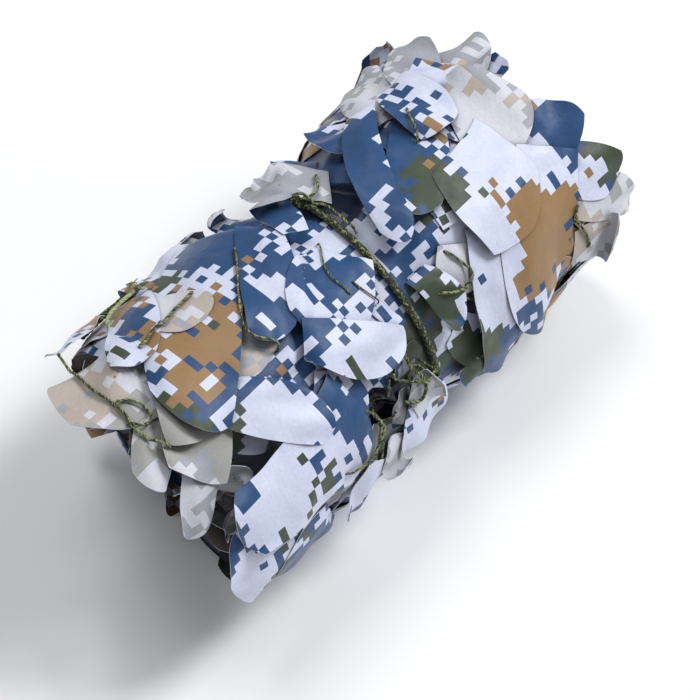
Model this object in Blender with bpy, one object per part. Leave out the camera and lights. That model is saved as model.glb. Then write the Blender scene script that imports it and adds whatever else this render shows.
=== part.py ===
"""Rolled camouflage net: a leaf-cut cloth net wound into a bundle and tied round its waist.

The bundle lies along X with its open mouth at -X and rests on the plane z = 0.
Metres, +Z up.  Every lobe of the cut cloth is one row of LOBES, laid on the roll
in the order of the table, so that each lobe follows what lies beneath it.
"""
import math

import bpy
import numpy as np
from mathutils import Vector
from mathutils.bvhtree import BVHTree

# ------------------------------------------------------------ driving sizes
OBJECT_NAME = "rolled_camouflage_net"
AXIS_HEIGHT = 0.098          # height of the roll's axis over the ground
ROLL_RADIUS = 0.0965         # radius of the wound cloth below its lobes
NEAR_END_X = -0.190          # rim of the open mouth
FAR_END_X = 0.172            # rim of the far end
WAIST_X = -0.003             # where the tie pulls the roll in
WAIST_RADIUS = 0.0895        # radius of the cloth under the tie
WAIST_SPREAD = 0.030         # how far the pinch reaches along the roll
TIE_TILT = 0.0114            # how far the tie leans along X over its ring
TIE_TILT_PHASE = 120.0       # side of the roll to which it leans, degrees
TIE_CORD_RADIUS = 0.0028
TIE_CORD_GAP = 0.0004
MOUTH_DEPTH = 0.048          # hollow of the near end
FAR_END_DEPTH = 0.032        # hollow of the far end
MOUTH_STEP = 0.020           # how far the mouth's rim steps back low behind
MOUTH_STEP_TURN = -135.0     # side of the mouth that steps back most, degrees
MOUTH_STEP_START = -0.090    # where along the roll the step begins
TURN_PITCH = 0.024           # distance of the wound turns seen at the ends
TURN_RIDGE = 0.0150          # height of one turn over the next at the ends
TURN_WOBBLE = 0.10           # how unevenly the turns lie, in turns
END_CORNER = 0.010           # rounding of the roll's rims
SEGMENTS = 56                # steps round the roll
SIDE_ROWS = 36               # steps along the roll
SIDE_SAG = 0.0025            # how far the lying roll spreads to its sides
END_RINGS = 12               # rings over each end
CLOTH_THICKNESS = 0.0013
SEAT_GAP = 0.0003
DRAPE_SLOPE = 0.42           # steepest rise of a lobe over what lies beneath it
ROUND_SHARE = 0.45           # how round the bluntest tip is, 1 being an ellipse
ROOT_SHARE = 0.70            # width of a lobe's root against its widest place
LOBE_WAVE = 0.0018           # lift of a lobe's waves at its tip
UNROLL_RADIUS = 0.100        # arc lengths of the table are taken at this radius
ROPE_RADIUS = 0.0027

# one row per lobe: where its root and its tip lie (x in mm, turn in degrees from
# the top, + towards -Y), the height of its tip over the axis (mm), its width (mm),
# its sideways bow (mm), how far its tip leans to one side (mm), how round the tip is,
# how far the tip curls up (mm), and the face that is turned outwards
LOBE_COLUMNS = ("name", "root_x", "root_turn", "tip_x", "tip_turn", "tip_radius",
                "width", "bow", "lean", "roundness", "curl", "face")
LOBES = (
    ("mouth_low", -182, 22, -236, 55, 88, 27, 8, 8, 0.50, 0, "reverse"),
    ("mouth_side", -182, 2, -241, 25, 90, 31, 2, -6, 0.20, 0, "reverse"),
    ("mouth_back", -110, -140, -172, -134, 92, 66, 0, 8, 0.55, 3, "reverse"),
    ("mouth_floor", -128, 146, -208, 138, 92, 66, 0, 8, 0.50, 0, "reverse"),
    ("under_far", 18, 120, 104, 136, 102, 80, 0, -9, 0.50, 3, "printed"),
    ("mouth_under", -160, 84, -235, 90, 95, 66, 4, -10, 0.45, 0, "printed"),
    ("mouth_green", -140, 92, -186, 104, 98, 52, 2, 8, 0.50, 0, "printed"),
    ("near_reverse", -176, 0, -238, -30, 104, 60, -1, 8, 0.30, 2, "reverse"),
    ("near_cheek", -174, 12, -215, 36, 98, 48, 0, -6, 0.15, 0, "reverse"),
    ("near_lavender", -166, 0, -203, 24, 103, 45, 2, 8, 0.60, 0, "reverse"),
    ("back_near_tip", -98, -124, -184, -104, 104, 78, -4, 10, 0.55, 4, "reverse"),
    ("back_near_low", -26, -118, -112, -146, 104, 86, 6, -12, 0.50, 0, "printed"),
    ("back_near_wide", -40, -80, -146, -98, 106, 96, 4, 14, 0.45, 5, "printed"),
    ("under_near", -44, 122, -142, 140, 102, 84, 0, 10, 0.50, 0, "printed"),
    ("near_loop", -146, -66, -206, -46, 113, 34, -1, -5, 0.60, 4, "printed"),
    ("near_patch", -136, -45, -192, -11, 110, 38, 0, 6, 0.40, 2, "printed"),
    ("near_back", -57, -41, -128, -64, 111, 70, -13, 8, 0.40, 2, "printed"),
    ("near_finger", -28, -33, -40, -62, 110, 18, -9, 0, 0.70, 3, "printed"),
    ("waist_low", -70, 50, -125, 83, 106, 65, -5, -10, 0.40, 0, "printed"),
    ("low_tip", -92, 86, -124, 104, 108, 38, 0, 6, 0.50, 3, "printed"),
    ("low_curl", -70, 86, -84, 104, 110, 30, 0, -4, 0.60, 6, "reverse"),
    ("low_tan", -30, 78, -53, 101, 108, 52, 0, 8, 0.45, 2, "printed"),
    ("near_big", -95, 50, -220, 58, 110, 59, -17, -6, 0.50, 0, "printed"),
    ("near_right", -160, 24, -120, 52, 112, 38, 3, 6, 0.60, 2, "printed"),
    ("near_curl", -125, -8, -147, -31, 114, 35, -1, 5, 0.70, 9, "reverse"),
    ("near_brown", -64, -43, -198, 20, 110, 64, -2, -12, 0.40, 0, "printed"),
    ("near_mid", -46, -25, -116, 17, 110, 38, -2, 5, 0.40, 0, "printed"),
    ("waist_panel", -24, 9, -90, 30, 108, 62, -3, -10, 0.40, 0, "printed"),
    ("waist_white", -98, 24, -42, 51, 110, 38, 2, -8, 0.60, 2, "printed"),
    ("waist_flap", -52, 80, -24, 76, 104, 29, -4, 3, 0.60, 5, "reverse"),
    ("waist_rolled", -38, -8, -19, -35, 102, 26, 0, 5, 0.50, 7, "printed"),
    ("back_far_low", 40, -124, 140, -146, 104, 84, 0, 10, 0.50, 0, "reverse"),
    ("back_far_wide", 28, -84, 126, -106, 106, 92, -4, -12, 0.45, 4, "printed"),
    ("end_far_low", 100, 116, 194, 126, 94, 84, 0, 9, 0.50, 0, "printed"),
    ("end_far_back", 108, -96, 200, -114, 96, 80, 4, -10, 0.50, 4, "printed"),
    ("back_far_top", 92, -58, 170, -78, 106, 58, 4, 10, 0.55, 3, "printed"),
    ("end_far_top", 124, -28, 186, -14, 102, 54, 0, -8, 0.60, 0, "reverse"),
    ("far_grey", 26, -16, -24, -42, 108, 58, 7, -8, 0.50, 3, "reverse"),
    ("far_beige", 90, -19, 133, -61, 112, 41, -7, 7, 0.60, 3, "reverse"),
    ("far_peak", 124, -21, 164, -47, 112, 41, -5, -5, 0.50, 3, "reverse"),
    ("far_tan", 133, -3, 126, -29, 112, 32, 9, 6, 0.50, 0, "printed"),
    ("far_point", 73, -26, 43, -43, 110, 41, -4, 7, 0.50, 3, "printed"),
    ("far_curls", 128, 78, 179, 88, 103, 36, 0, -6, 0.50, 3, "reverse"),
    ("far_bright", 140, 60, 199, 80, 106, 34, 0, 5, 0.50, 0, "reverse"),
    ("far_edge", 138, 42, 187, 65, 108, 42, -3, -6, 0.50, 0, "printed"),
    ("far_rise", 126, 36, 175, 24, 109, 52, 6, 9, 0.40, 0, "printed"),
    ("far_white", 111, 21, 151, -3, 112, 60, -1, -9, 0.35, 3, "reverse"),
    ("low_strip", 60, 96, 6, 100, 102, 34, 0, 5, 0.40, 0, "printed"),
    ("low_olive", 12, 36, 16, 64, 104, 25, -2, 3, 0.60, 4, "printed"),
    ("low_print", 12, 70, 46, 94, 104, 38, 3, -5, 0.50, 0, "printed"),
    ("far_left_slit", 66, 38, 42, 106, 108, 41, 13, 6, 0.40, 2, "printed"),
    ("far_right_slit", 147, 35, 63, 93, 112, 71, 7, -10, 0.50, 2, "printed"),
    ("far_green", 101, -13, 26, 19, 112, 43, 0, 6, 0.50, 0, "printed"),
    ("far_middle", 124, 22, 50, 30, 113, 74, -16, -12, 0.30, 0, "printed"),
    ("far_check", 114, -30, 94, 4, 112, 43, 4, 6, 0.40, 2, "printed"),
    ("far_dark", 82, -31, 8, 24, 104, 28, 13, 4, 0.45, 2, "printed"),
)

# folds of the wound cloth: cycles round the roll, cycles along it, phase, height (mm)
FOLD_COLUMNS = ("around", "along", "phase", "height")
FOLDS = (
    (2, 1.0, 0.6, 2.0),
    (3, -1.5, 2.1, 1.8),
    (5, 1.5, 4.4, 1.5),
    (8, -2.0, 1.2, 1.1),
)
GATHERS = 13                 # puckers that run out of the tie
GATHER_HEIGHT = 0.0032
GATHER_REACH = 0.050

# panels of the wound cloth that stand over their neighbours, and below them the hollows
# where it gapes: middle (x in mm, turn in degrees), heading of the long side (degrees
# from +X), length, width and height (mm), which is less than zero for a hollow
PLY_COLUMNS = ("x", "turn", "heading", "length", "width", "height")
PLIES = (
    (-150, -150, 20, 130, 84, 5.4),
    (-96, 172, -32, 140, 92, 4.3),
    (-146, 62, 12, 104, 86, 4.6),
    (-74, -106, 42, 104, 84, 4.9),
    (-104, 2, -24, 124, 90, 4.1),
    (-70, 112, 24, 92, 72, 4.6),
    (66, -140, -30, 124, 90, 5.4),
    (124, 156, 26, 110, 92, 4.6),
    (112, -64, 14, 120, 84, 4.3),
    (62, 22, -26, 110, 90, 4.1),
    (124, 92, 32, 100, 84, 4.6),
    (52, 106, -18, 100, 74, 4.1),
    (-168, -60, 70, 96, 44, 3.5),
    (150, -130, 80, 110, 40, 3.8),
    (-76, 76, 78, 66, 40, -12.0),
    (-42, 72, 80, 52, 30, -8.0),
    (8, -14, 60, 52, 40, -10.0),
    (25, 56, 70, 58, 40, -11.0),
    (-178, 44, 60, 60, 44, -15.0),
    (-142, 90, 20, 44, 34, -9.0),
    (-138, -30, -30, 48, 38, -8.0),
    (-150, 120, 30, 50, 36, -9.0),
    (70, -100, 40, 60, 38, -8.0),
    (-90, -150, -40, 60, 40, -8.0),
    (150, 108, 20, 50, 36, -9.0),
)
PLY_EDGE = 0.15              # share of a panel's size over which it drops to its neighbour

# the edge rope where it shows: x (mm), turn (degrees), height over the cloth (mm)
ROPE_COLUMNS = ("x", "turn", "lift")
ROPE_PATH = (
    (-110, -56, 0.0),
    (-124, -59, 0.0),
    (-138, -61, 0.3),
    (-150, -62, 0.5),
    (-162, -61, 0.3),
    (-173, -58, 0.0),
)


def clear_scene():
    """Remove every object that is in the file."""
    for item in list(bpy.data.objects):
        bpy.data.objects.remove(item, do_unlink=True)


def make_material(name, color, roughness, sheen):
    """Return a Principled material with a plain colour."""
    material = bpy.data.materials.new(name)
    material.use_nodes = True
    shader = material.node_tree.nodes["Principled BSDF"]
    shader.inputs["Base Color"].default_value = (*color, 1.0)
    shader.inputs["Roughness"].default_value = roughness
    shader.inputs["Sheen Weight"].default_value = sheen
    return material


def on_roll(x, turn, radius):
    """Return the point at a place along, an angle round and a distance from the axis."""
    side = -radius * math.sin(turn)
    height = max(AXIS_HEIGHT + radius * math.cos(turn), 0.0)
    return (x, side, height)


def tie_lean(turn):
    """Return how far the ring of the tie leans along X at this angle."""
    return TIE_TILT * math.cos(turn + math.radians(TIE_TILT_PHASE))


def ply_height(x, turn):
    """Return how far the panels of the cloth stand up at this place."""
    total = 0.0
    for values in PLIES:
        ply = dict(zip(PLY_COLUMNS, values))
        along = x * 1000.0 - ply["x"]
        round_turn = (turn - math.radians(ply["turn"]) + math.pi) % (2.0 * math.pi) - math.pi
        across = round_turn * UNROLL_RADIUS * 1000.0
        heading = math.radians(ply["heading"])
        near = abs(along * math.cos(heading) + across * math.sin(heading)) * 2.0 / ply["length"]
        wide = abs(across * math.cos(heading) - along * math.sin(heading)) * 2.0 / ply["width"]
        reach = (near ** 3.0 + wide ** 3.0) ** (1.0 / 3.0)
        step = min(1.0, max(0.0, (1.0 - reach) / PLY_EDGE))
        total += 0.001 * ply["height"] * step * step * (3.0 - 2.0 * step)
    return total


def roll_radius(x, turn):
    """Return the radius of the wound cloth, x being taken before the tie's lean."""
    away = abs(x - WAIST_X)
    pinch = math.exp(-((max(away - 0.005, 0.0) / WAIST_SPREAD) ** 2))
    radius = ROLL_RADIUS - (ROLL_RADIUS - WAIST_RADIUS) * pinch
    free = 1.0 - math.exp(-((max(away - 0.006, 0.0) / 0.030) ** 2))
    length = FAR_END_X - NEAR_END_X
    for around, along, phase, height in FOLDS:
        wave = math.sin(around * turn + along * 2.0 * math.pi * x / length + phase)
        radius += 0.001 * height * wave * free
    near_tie = math.exp(-((away / GATHER_REACH) ** 2)) * free
    radius += GATHER_HEIGHT * math.cos(GATHERS * turn + 9.0 * x) * near_tie
    radius += (ply_height(x, turn) + SIDE_SAG * math.sin(turn) ** 2) * free
    return radius


def mouth_step(turn):
    """Return how far the rim of the mouth steps back on one side."""
    return MOUTH_STEP * max(math.cos(turn - math.radians(MOUTH_STEP_TURN)), 0.0) ** 2


def end_hollow(share, turn, depth):
    """Return how far a ring of an end lies inside its rim, with its wound turns."""
    bowl = depth * (1.0 - share ** 2.2)
    phase = share * ROLL_RADIUS / TURN_PITCH - turn / (2.0 * math.pi)
    phase += TURN_WOBBLE * math.sin(2.0 * turn + 7.0 * share)
    saw = phase - math.floor(phase)
    fade = min(1.0, 3.0 * (1.0 - share)) * min(1.0, 2.5 * share)
    ridge = TURN_RIDGE * (1.0 - abs(2.0 * saw - 1.0)) * fade
    return bowl - ridge


def roll_rows():
    """Return the rows of the loft from the near end's middle to the far end's middle."""
    rows = []
    for ring in range(1, END_RINGS + 1):
        rows.append(("near", ring / (END_RINGS + 1.0)))
    start = NEAR_END_X + END_CORNER
    stop = FAR_END_X - END_CORNER
    rows.append(("near", 0.965))
    for step in range(SIDE_ROWS + 1):
        x = start + (stop - start) * step / SIDE_ROWS
        rows.append(("side", x))
    rows.append(("far", 0.965))
    for ring in range(END_RINGS, 0, -1):
        rows.append(("far", ring / (END_RINGS + 1.0)))
    return rows


def roll_point(kind, value, turn):
    """Return one point of the wound roll."""
    start = NEAR_END_X + END_CORNER
    if kind == "side":
        reach = math.exp(-(((value - WAIST_X) / 0.055) ** 2))
        step = (MOUTH_STEP_START - value) / (MOUTH_STEP_START - start)
        step = mouth_step(turn) * min(max(step, 0.0), 1.0)
        x = value + tie_lean(turn) * reach + step
        return on_roll(x, turn, roll_radius(value, turn))
    if kind == "near":
        rim = roll_radius(start, turn)
        if value > 0.95:
            return on_roll(NEAR_END_X + mouth_step(turn) + 0.003, turn, rim * 0.985)
        inside = end_hollow(value, turn, MOUTH_DEPTH) + mouth_step(turn) * value
        return on_roll(NEAR_END_X + inside, turn, rim * value)
    rim = roll_radius(FAR_END_X - END_CORNER, turn)
    if value > 0.95:
        return on_roll(FAR_END_X - 0.003, turn, rim * 0.985)
    inside = end_hollow(value, -turn, FAR_END_DEPTH)
    return on_roll(FAR_END_X - inside, turn, rim * value)


def link_mesh(name, points, faces, material, collection):
    """Make one mesh object from points and faces."""
    mesh = bpy.data.meshes.new(name)
    mesh.from_pydata([tuple(p) for p in points], [], faces)
    mesh.materials.append(material)
    mesh.update()
    item = bpy.data.objects.new(name, mesh)
    collection.objects.link(item)
    return item


def build_roll(material, collection):
    """Loft the wound cloth and return its object, points and triangles."""
    rows = roll_rows()
    points = []
    for kind, value in rows:
        for step in range(SEGMENTS):
            turn = 2.0 * math.pi * step / SEGMENTS
            points.append(roll_point(kind, value, turn))
    faces = []
    for row in range(len(rows) - 1):
        for step in range(SEGMENTS):
            after = (step + 1) % SEGMENTS
            a = row * SEGMENTS + step
            b = row * SEGMENTS + after
            c = (row + 1) * SEGMENTS + after
            d = (row + 1) * SEGMENTS + step
            faces.append((a, b, c))
            faces.append((a, c, d))
    near_pole = len(points)
    points.append((NEAR_END_X + MOUTH_DEPTH, 0.0, AXIS_HEIGHT))
    far_pole = len(points)
    points.append((FAR_END_X - FAR_END_DEPTH, 0.0, AXIS_HEIGHT))
    last = (len(rows) - 1) * SEGMENTS
    for step in range(SEGMENTS):
        after = (step + 1) % SEGMENTS
        faces.append((near_pole, after, step))
        faces.append((far_pole, last + step, last + after))
    item = link_mesh("rolled_net", points, faces, material, collection)
    return item, np.array(points), faces


def build_tube(name, path, radius, closed, sides, material, collection):
    """Sweep a round cord along a path and return its object, points and triangles."""
    path = [Vector(p) for p in path]
    count = len(path)
    points = []
    for index, place in enumerate(path):
        if closed:
            ahead = path[(index + 1) % count] - path[index - 1]
        else:
            ahead = path[min(index + 1, count - 1)] - path[max(index - 1, 0)]
        ahead.normalize()
        out = Vector((0.0, place.y, place.z - AXIS_HEIGHT)).normalized()
        across = ahead.cross(out).normalized()
        out = across.cross(ahead).normalized()
        for side in range(sides):
            angle = 2.0 * math.pi * (side + 0.5) / sides
            points.append(place + (out * math.cos(angle) + across * math.sin(angle)) * radius)
    faces = []
    spans = count if closed else count - 1
    for index in range(spans):
        following = (index + 1) % count
        for side in range(sides):
            after = (side + 1) % sides
            a = index * sides + side
            b = index * sides + after
            c = following * sides + after
            d = following * sides + side
            faces.append((a, b, c))
            faces.append((a, c, d))
    if not closed:
        first = len(points)
        points.append(path[0])
        final = len(points)
        points.append(path[-1])
        base = (count - 1) * sides
        for side in range(sides):
            after = (side + 1) % sides
            faces.append((first, after, side))
            faces.append((final, base + side, base + after))
    item = link_mesh(name, points, faces, material, collection)
    return item, np.array([tuple(p) for p in points]), faces


class Ground:
    """Height of what is laid so far, kept on a grid over the unrolled cylinder."""

    def __init__(self):
        self.step = 0.002
        self.start_x = -0.27
        self.columns = 260
        self.turns = 320
        self.radius = np.zeros((self.columns, self.turns))

    def add(self, points, faces):
        """Raise the grid to the outside of a mesh."""
        turn = np.arctan2(-points[:, 1], points[:, 2] - AXIS_HEIGHT)
        radius = np.hypot(points[:, 1], points[:, 2] - AXIS_HEIGHT)
        column = (points[:, 0] - self.start_x) / self.step
        cell = turn / (2.0 * math.pi) * self.turns
        for face in faces:
            face = list(face)
            u = column[face]
            v = cell[face].copy()
            v = v[0] + (v - v[0] + self.turns / 2) % self.turns - self.turns / 2
            r = radius[face]
            if r.min() < 0.02:
                continue
            u0, u1 = int(math.floor(u.min())), int(math.ceil(u.max()))
            v0, v1 = int(math.floor(v.min())), int(math.ceil(v.max()))
            area = (u[1] - u[0]) * (v[2] - v[0]) - (u[2] - u[0]) * (v[1] - v[0])
            gu, gv = np.meshgrid(np.arange(u0, u1 + 1), np.arange(v0, v1 + 1), indexing="ij")
            if abs(area) < 1e-6:
                height = np.full(gu.shape, r.max())
                inside = np.ones(gu.shape, bool)
            else:
                w1 = ((gu - u[0]) * (v[2] - v[0]) - (u[2] - u[0]) * (gv - v[0])) / area
                w2 = ((u[1] - u[0]) * (gv - v[0]) - (gu - u[0]) * (v[1] - v[0])) / area
                w0 = 1.0 - w1 - w2
                inside = (w0 > -0.02) & (w1 > -0.02) & (w2 > -0.02)
                height = w0 * r[0] + w1 * r[1] + w2 * r[2]
            gu = gu[inside]
            gv = gv[inside] % self.turns
            keep = (gu >= 0) & (gu < self.columns)
            np.maximum.at(self.radius, (gu[keep], gv[keep]), height[inside][keep])

    def over(self, x, turn, reach):
        """Return the greatest height within a reach of each place."""
        out = np.zeros(x.shape)
        span = int(round(reach / self.step))
        for du in range(-span, span + 1, 1):
            for dv in range(-span, span + 1, 1):
                if du * du + dv * dv > span * span + 1:
                    continue
                column = np.clip(np.rint((x - self.start_x) / self.step).astype(int) + du, 0,
                                 self.columns - 1)
                cell = np.rint(turn / (2.0 * math.pi) * self.turns).astype(int) + dv
                out = np.maximum(out, self.radius[column, cell % self.turns])
        return out


def lobe_plan(row, steps_long, steps_wide):
    """Return the unrolled places of a lobe's grid: x, arc length and share of the length."""
    start = np.array((row["root_x"] / 1000.0, math.radians(row["root_turn"]) * UNROLL_RADIUS))
    stop = np.array((row["tip_x"] / 1000.0, math.radians(row["tip_turn"]) * UNROLL_RADIUS))
    length = float(np.hypot(*(stop - start)))
    ahead = (stop - start) / length
    across = np.array((-ahead[1], ahead[0]))
    width = row["width"] / 1000.0
    share, side = np.meshgrid(np.linspace(0.0, 1.0, steps_long + 1),
                              np.linspace(-1.0, 1.0, steps_wide + 1), indexing="ij")
    past = np.clip(2.0 * share - 1.0, 0.0, 1.0)
    round_tip = ROUND_SHARE + (1.0 - ROUND_SHARE) * row["roundness"]
    along = np.where(past > 0.0, 0.5 + 0.5 * past * np.sqrt(1.0 - 0.5 * round_tip * side ** 2),
                     share)
    swell = np.where(past > 0.0, np.sqrt(1.0 - 0.5 * round_tip * past ** 2),
                     ROOT_SHARE + (1.0 - ROOT_SHARE) * np.sin(math.pi * share))
    bow = row["bow"] / 1000.0 * 4.0 * along * (1.0 - along)
    bow = bow + row["lean"] / 1000.0 * (along ** 3 - along)
    along = along + row["lean"] / 1000.0 / length * side * share ** 2 * 0.7
    offset = bow + side * 0.5 * width * swell
    x = start[0] + ahead[0] * along * length + across[0] * offset
    arc = start[1] + ahead[1] * along * length + across[1] * offset
    return x, arc / UNROLL_RADIUS, along, side, length, width


def lobe_mesh(x, turn, radius):
    """Return the closed sheet over a grid of places, as points and triangles."""
    high, wide = x.shape
    height = AXIS_HEIGHT + radius * np.cos(turn)
    middle = np.stack((x, -radius * np.sin(turn), np.maximum(height, 0.002)), -1)
    down = np.gradient(middle, axis=0)
    over = np.gradient(middle, axis=1)
    normal = np.cross(down, over)
    normal /= np.linalg.norm(normal, axis=2, keepdims=True)
    outward = np.stack((0.0 * x, -np.sin(turn), np.cos(turn)), -1)
    ordered = float(np.mean(np.sum(normal * outward, axis=2))) > 0.0
    normal = normal if ordered else -normal
    top = middle + normal * CLOTH_THICKNESS * 0.5
    low = middle - normal * CLOTH_THICKNESS * 0.5
    low[..., 2] = np.maximum(low[..., 2], 0.0006)
    points = np.concatenate((top.reshape(-1, 3), low.reshape(-1, 3)))
    count = high * wide
    faces = []
    for i in range(high - 1):
        for j in range(wide - 1):
            a, b = i * wide + j, i * wide + j + 1
            d, c = (i + 1) * wide + j, (i + 1) * wide + j + 1
            if 2 * j < wide - 1:
                corners = ((a, d, b), (d, c, b))
            else:
                corners = ((a, d, c), (a, c, b))
            for p, q, r in corners:
                faces.append((p, q, r))
                faces.append((p + count, r + count, q + count))
    rim = [(0, j) for j in range(wide)]
    rim += [(i, wide - 1) for i in range(1, high)]
    rim += [(high - 1, j) for j in range(wide - 2, -1, -1)]
    rim += [(i, 0) for i in range(high - 2, 0, -1)]
    ring = [i * wide + j for i, j in rim]
    for index, a in enumerate(ring):
        b = ring[(index + 1) % len(ring)]
        faces.append((a, b, b + count))
        faces.append((a, b + count, a + count))
    if not ordered:
        faces = [tuple(reversed(face)) for face in faces]
    return points, faces


def sample_places(points, faces):
    """Return the corners, edge middles and face middles of a mesh."""
    corners = points[np.array(faces)]
    middles = corners.mean(axis=1)
    edges = (corners + np.roll(corners, 1, axis=1)).reshape(-1, 3) * 0.5
    return np.concatenate((points, middles, edges))


def clearances(points, faces, laid_tree, laid_places):
    """Return pairs of a place on the new sheet and its distance to what is laid."""
    found = []
    for place in sample_places(points, faces):
        hit = laid_tree.find_nearest(Vector(place), 0.003)
        if hit[0] is not None:
            found.append((place, hit[3]))
    tree = BVHTree.FromPolygons([tuple(p) for p in points], faces)
    low = points.min(axis=0) - 0.003
    high = points.max(axis=0) + 0.003
    near = laid_places[np.all((laid_places > low) & (laid_places < high), axis=1)]
    for place in near:
        hit = tree.find_nearest(Vector(place), 0.003)
        if hit[0] is not None:
            found.append((np.array(hit[0]), hit[3]))
    crossing = tree.overlap(laid_tree)
    for index in {pair[0] for pair in crossing}:
        found.append((points[list(faces[index])].mean(axis=0), -0.0006))
    return found


def draped(radius, apart):
    """Return the heights with no slope steeper than the cloth takes over a step."""
    reach = radius.reshape(1, -1) - DRAPE_SLOPE * apart
    return reach.max(axis=1).reshape(radius.shape)


def lay_lobe(row, ground, laid_points, laid_faces):
    """Lay one lobe on the roll and return its points and triangles."""
    span = abs(row["tip_x"] - row["root_x"])
    arc = abs(math.radians(row["tip_turn"] - row["root_turn"])) * UNROLL_RADIUS * 1000.0
    steps_long = int(min(9, max(4, round(math.hypot(span, arc) / 14.0))))
    steps_wide = int(min(6, max(3, round(row["width"] / 12.0))))
    x, turn, along, side, length, width = lobe_plan(row, steps_long, steps_wide)
    beneath = ground.over(x, turn, 0.005) + SEAT_GAP + 0.5 * CLOTH_THICKNESS + 0.0002
    beneath = np.maximum(beneath, 0.02)
    flat_away = np.stack((x.ravel(), turn.ravel() * UNROLL_RADIUS), -1)
    apart = np.linalg.norm(flat_away[:, None] - flat_away[None], axis=2)
    beneath = draped(beneath, apart)
    root = float(np.max(beneath[0]))
    aim = root + (row["tip_radius"] / 1000.0 - root) * along ** 1.5
    aim = aim - 0.0025 * side ** 2 * (0.4 + along)
    aim = aim + row["curl"] / 1000.0 * (np.clip(along - 0.5, 0.0, 1.0) / 0.5) ** 2
    wave = math.pi * (2.2 * along + 1.1 * side) + row["root_turn"]
    aim = aim + LOBE_WAVE * along * np.sin(wave)
    aim[0] = beneath[0]
    radius = np.maximum(aim, beneath)
    for _ in range(4):
        soft = radius.copy()
        soft[1:-1] = 0.25 * radius[:-2] + 0.5 * radius[1:-1] + 0.25 * radius[2:]
        soft[:, 1:-1] = 0.5 * soft[:, 1:-1] + 0.25 * (soft[:, :-2] + soft[:, 2:])
        radius = np.maximum(soft, beneath)
    radius = draped(radius, apart)
    tree = BVHTree.FromPolygons([tuple(p) for p in laid_points], laid_faces)
    low = np.array((x.min() - 0.02, -0.15, 0.0))
    high = np.array((x.max() + 0.02, 0.15, 0.25))
    everything = sample_places(laid_points, laid_faces)
    places = everything[np.all((everything > low) & (everything < high), axis=1)]
    for _ in range(30):
        points, faces = lobe_mesh(x, turn, radius)
        found = clearances(points, faces, tree, places)
        short = [(place, gap) for place, gap in found if gap < SEAT_GAP]
        if not short:
            break
        grid = points[:x.size].reshape(x.shape + (3,))
        lift = np.zeros(radius.shape)
        for place, gap in short:
            away = np.linalg.norm(grid - place, axis=2)
            lift = np.maximum(lift, np.exp(-(away / 0.016) ** 2) * (SEAT_GAP - gap + 0.00003))
        radius = draped(radius + lift, apart)
    for _ in range(3):
        nearest = min(gap for place, gap in found) if found else SEAT_GAP
        spare = nearest - SEAT_GAP
        if spare < 0.00002:
            break
        trial = radius - spare * 0.96
        points_low, faces_low = lobe_mesh(x, turn, trial)
        found_low = clearances(points_low, faces_low, tree, places)
        if min(gap for place, gap in found_low) < SEAT_GAP - 0.00003:
            break
        radius, points, faces, found = trial, points_low, faces_low, found_low
    return points, faces, min(gap for place, gap in found) if found else 1.0


def build():
    """Build the whole object in its own collection."""
    clear_scene()
    collection = bpy.data.collections.new(OBJECT_NAME)
    bpy.context.scene.collection.children.link(collection)
    printed = make_material("printed_cloth", (0.30, 0.38, 0.50), 0.62, 0.15)
    reverse = make_material("cloth_reverse", (0.72, 0.71, 0.70), 0.66, 0.15)
    inner = make_material("wound_cloth", (0.20, 0.25, 0.31), 0.70, 0.10)
    cord = make_material("braided_cord", (0.030, 0.040, 0.016), 0.75, 0.10)

    roll, points, faces = build_roll(inner, collection)
    ring_radius = WAIST_RADIUS + TIE_CORD_GAP + TIE_CORD_RADIUS
    path = []
    for step in range(SEGMENTS):
        turn = 2.0 * math.pi * step / SEGMENTS
        x = WAIST_X + tie_lean(turn)
        side = -ring_radius * math.sin(turn)
        path.append((x, side, AXIS_HEIGHT + ring_radius * math.cos(turn)))
    tie, tie_points, tie_faces = build_tube("tie_cord", path, TIE_CORD_RADIUS, True, 8,
                                            cord, collection)

    ground = Ground()
    ground.add(points, faces)
    ground.add(tie_points, tie_faces)
    laid_points = points
    laid_faces = list(faces)

    def lay(new_points, new_faces):
        nonlocal laid_points, laid_faces
        shift = len(laid_points)
        laid_points = np.concatenate((laid_points, new_points))
        laid_faces = laid_faces + [tuple(i + shift for i in face) for face in new_faces]

    lay(tie_points, tie_faces)
    rope_path = []
    for x, turn, lift in ROPE_PATH:
        place_x, place_turn = x / 1000.0, math.radians(turn)
        under = ground.over(np.array((place_x,)), np.array((place_turn,)), 0.004)[0]
        radius = max(under, 0.094) + ROPE_RADIUS + 0.0006 + lift / 1000.0
        rope_path.append(on_roll(place_x, place_turn, radius))
    rope, rope_points, rope_faces = build_tube("edge_rope", rope_path, ROPE_RADIUS, False, 8,
                                               cord, collection)
    ground.add(rope_points, rope_faces)
    lay(rope_points, rope_faces)

    for values in LOBES:
        row = dict(zip(LOBE_COLUMNS, values))
        lobe_points, lobe_faces, nearest = lay_lobe(row, ground, laid_points, laid_faces)
        material = printed if row["face"] == "printed" else reverse
        link_mesh("lobe_" + row["name"], lobe_points, lobe_faces, material, collection)
        ground.add(lobe_points, lobe_faces)
        lay(lobe_points, lobe_faces)
        print("lobe %-15s %4d triangles, nearest %.2f mm" % (row["name"], len(lobe_faces),
                                                            nearest * 1000.0))

    low = laid_points.min(axis=0)
    high = laid_points.max(axis=0)
    shift = Vector((-(low[0] + high[0]) / 2.0, -(low[1] + high[1]) / 2.0, -low[2]))
    for item in collection.objects:
        for vertex in item.data.vertices:
            vertex.co += shift
        item.data.update()
    print("size", [round(float(v), 4) for v in high - low], "shift", tuple(shift),
          "triangles", len(laid_faces))


build()
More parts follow.
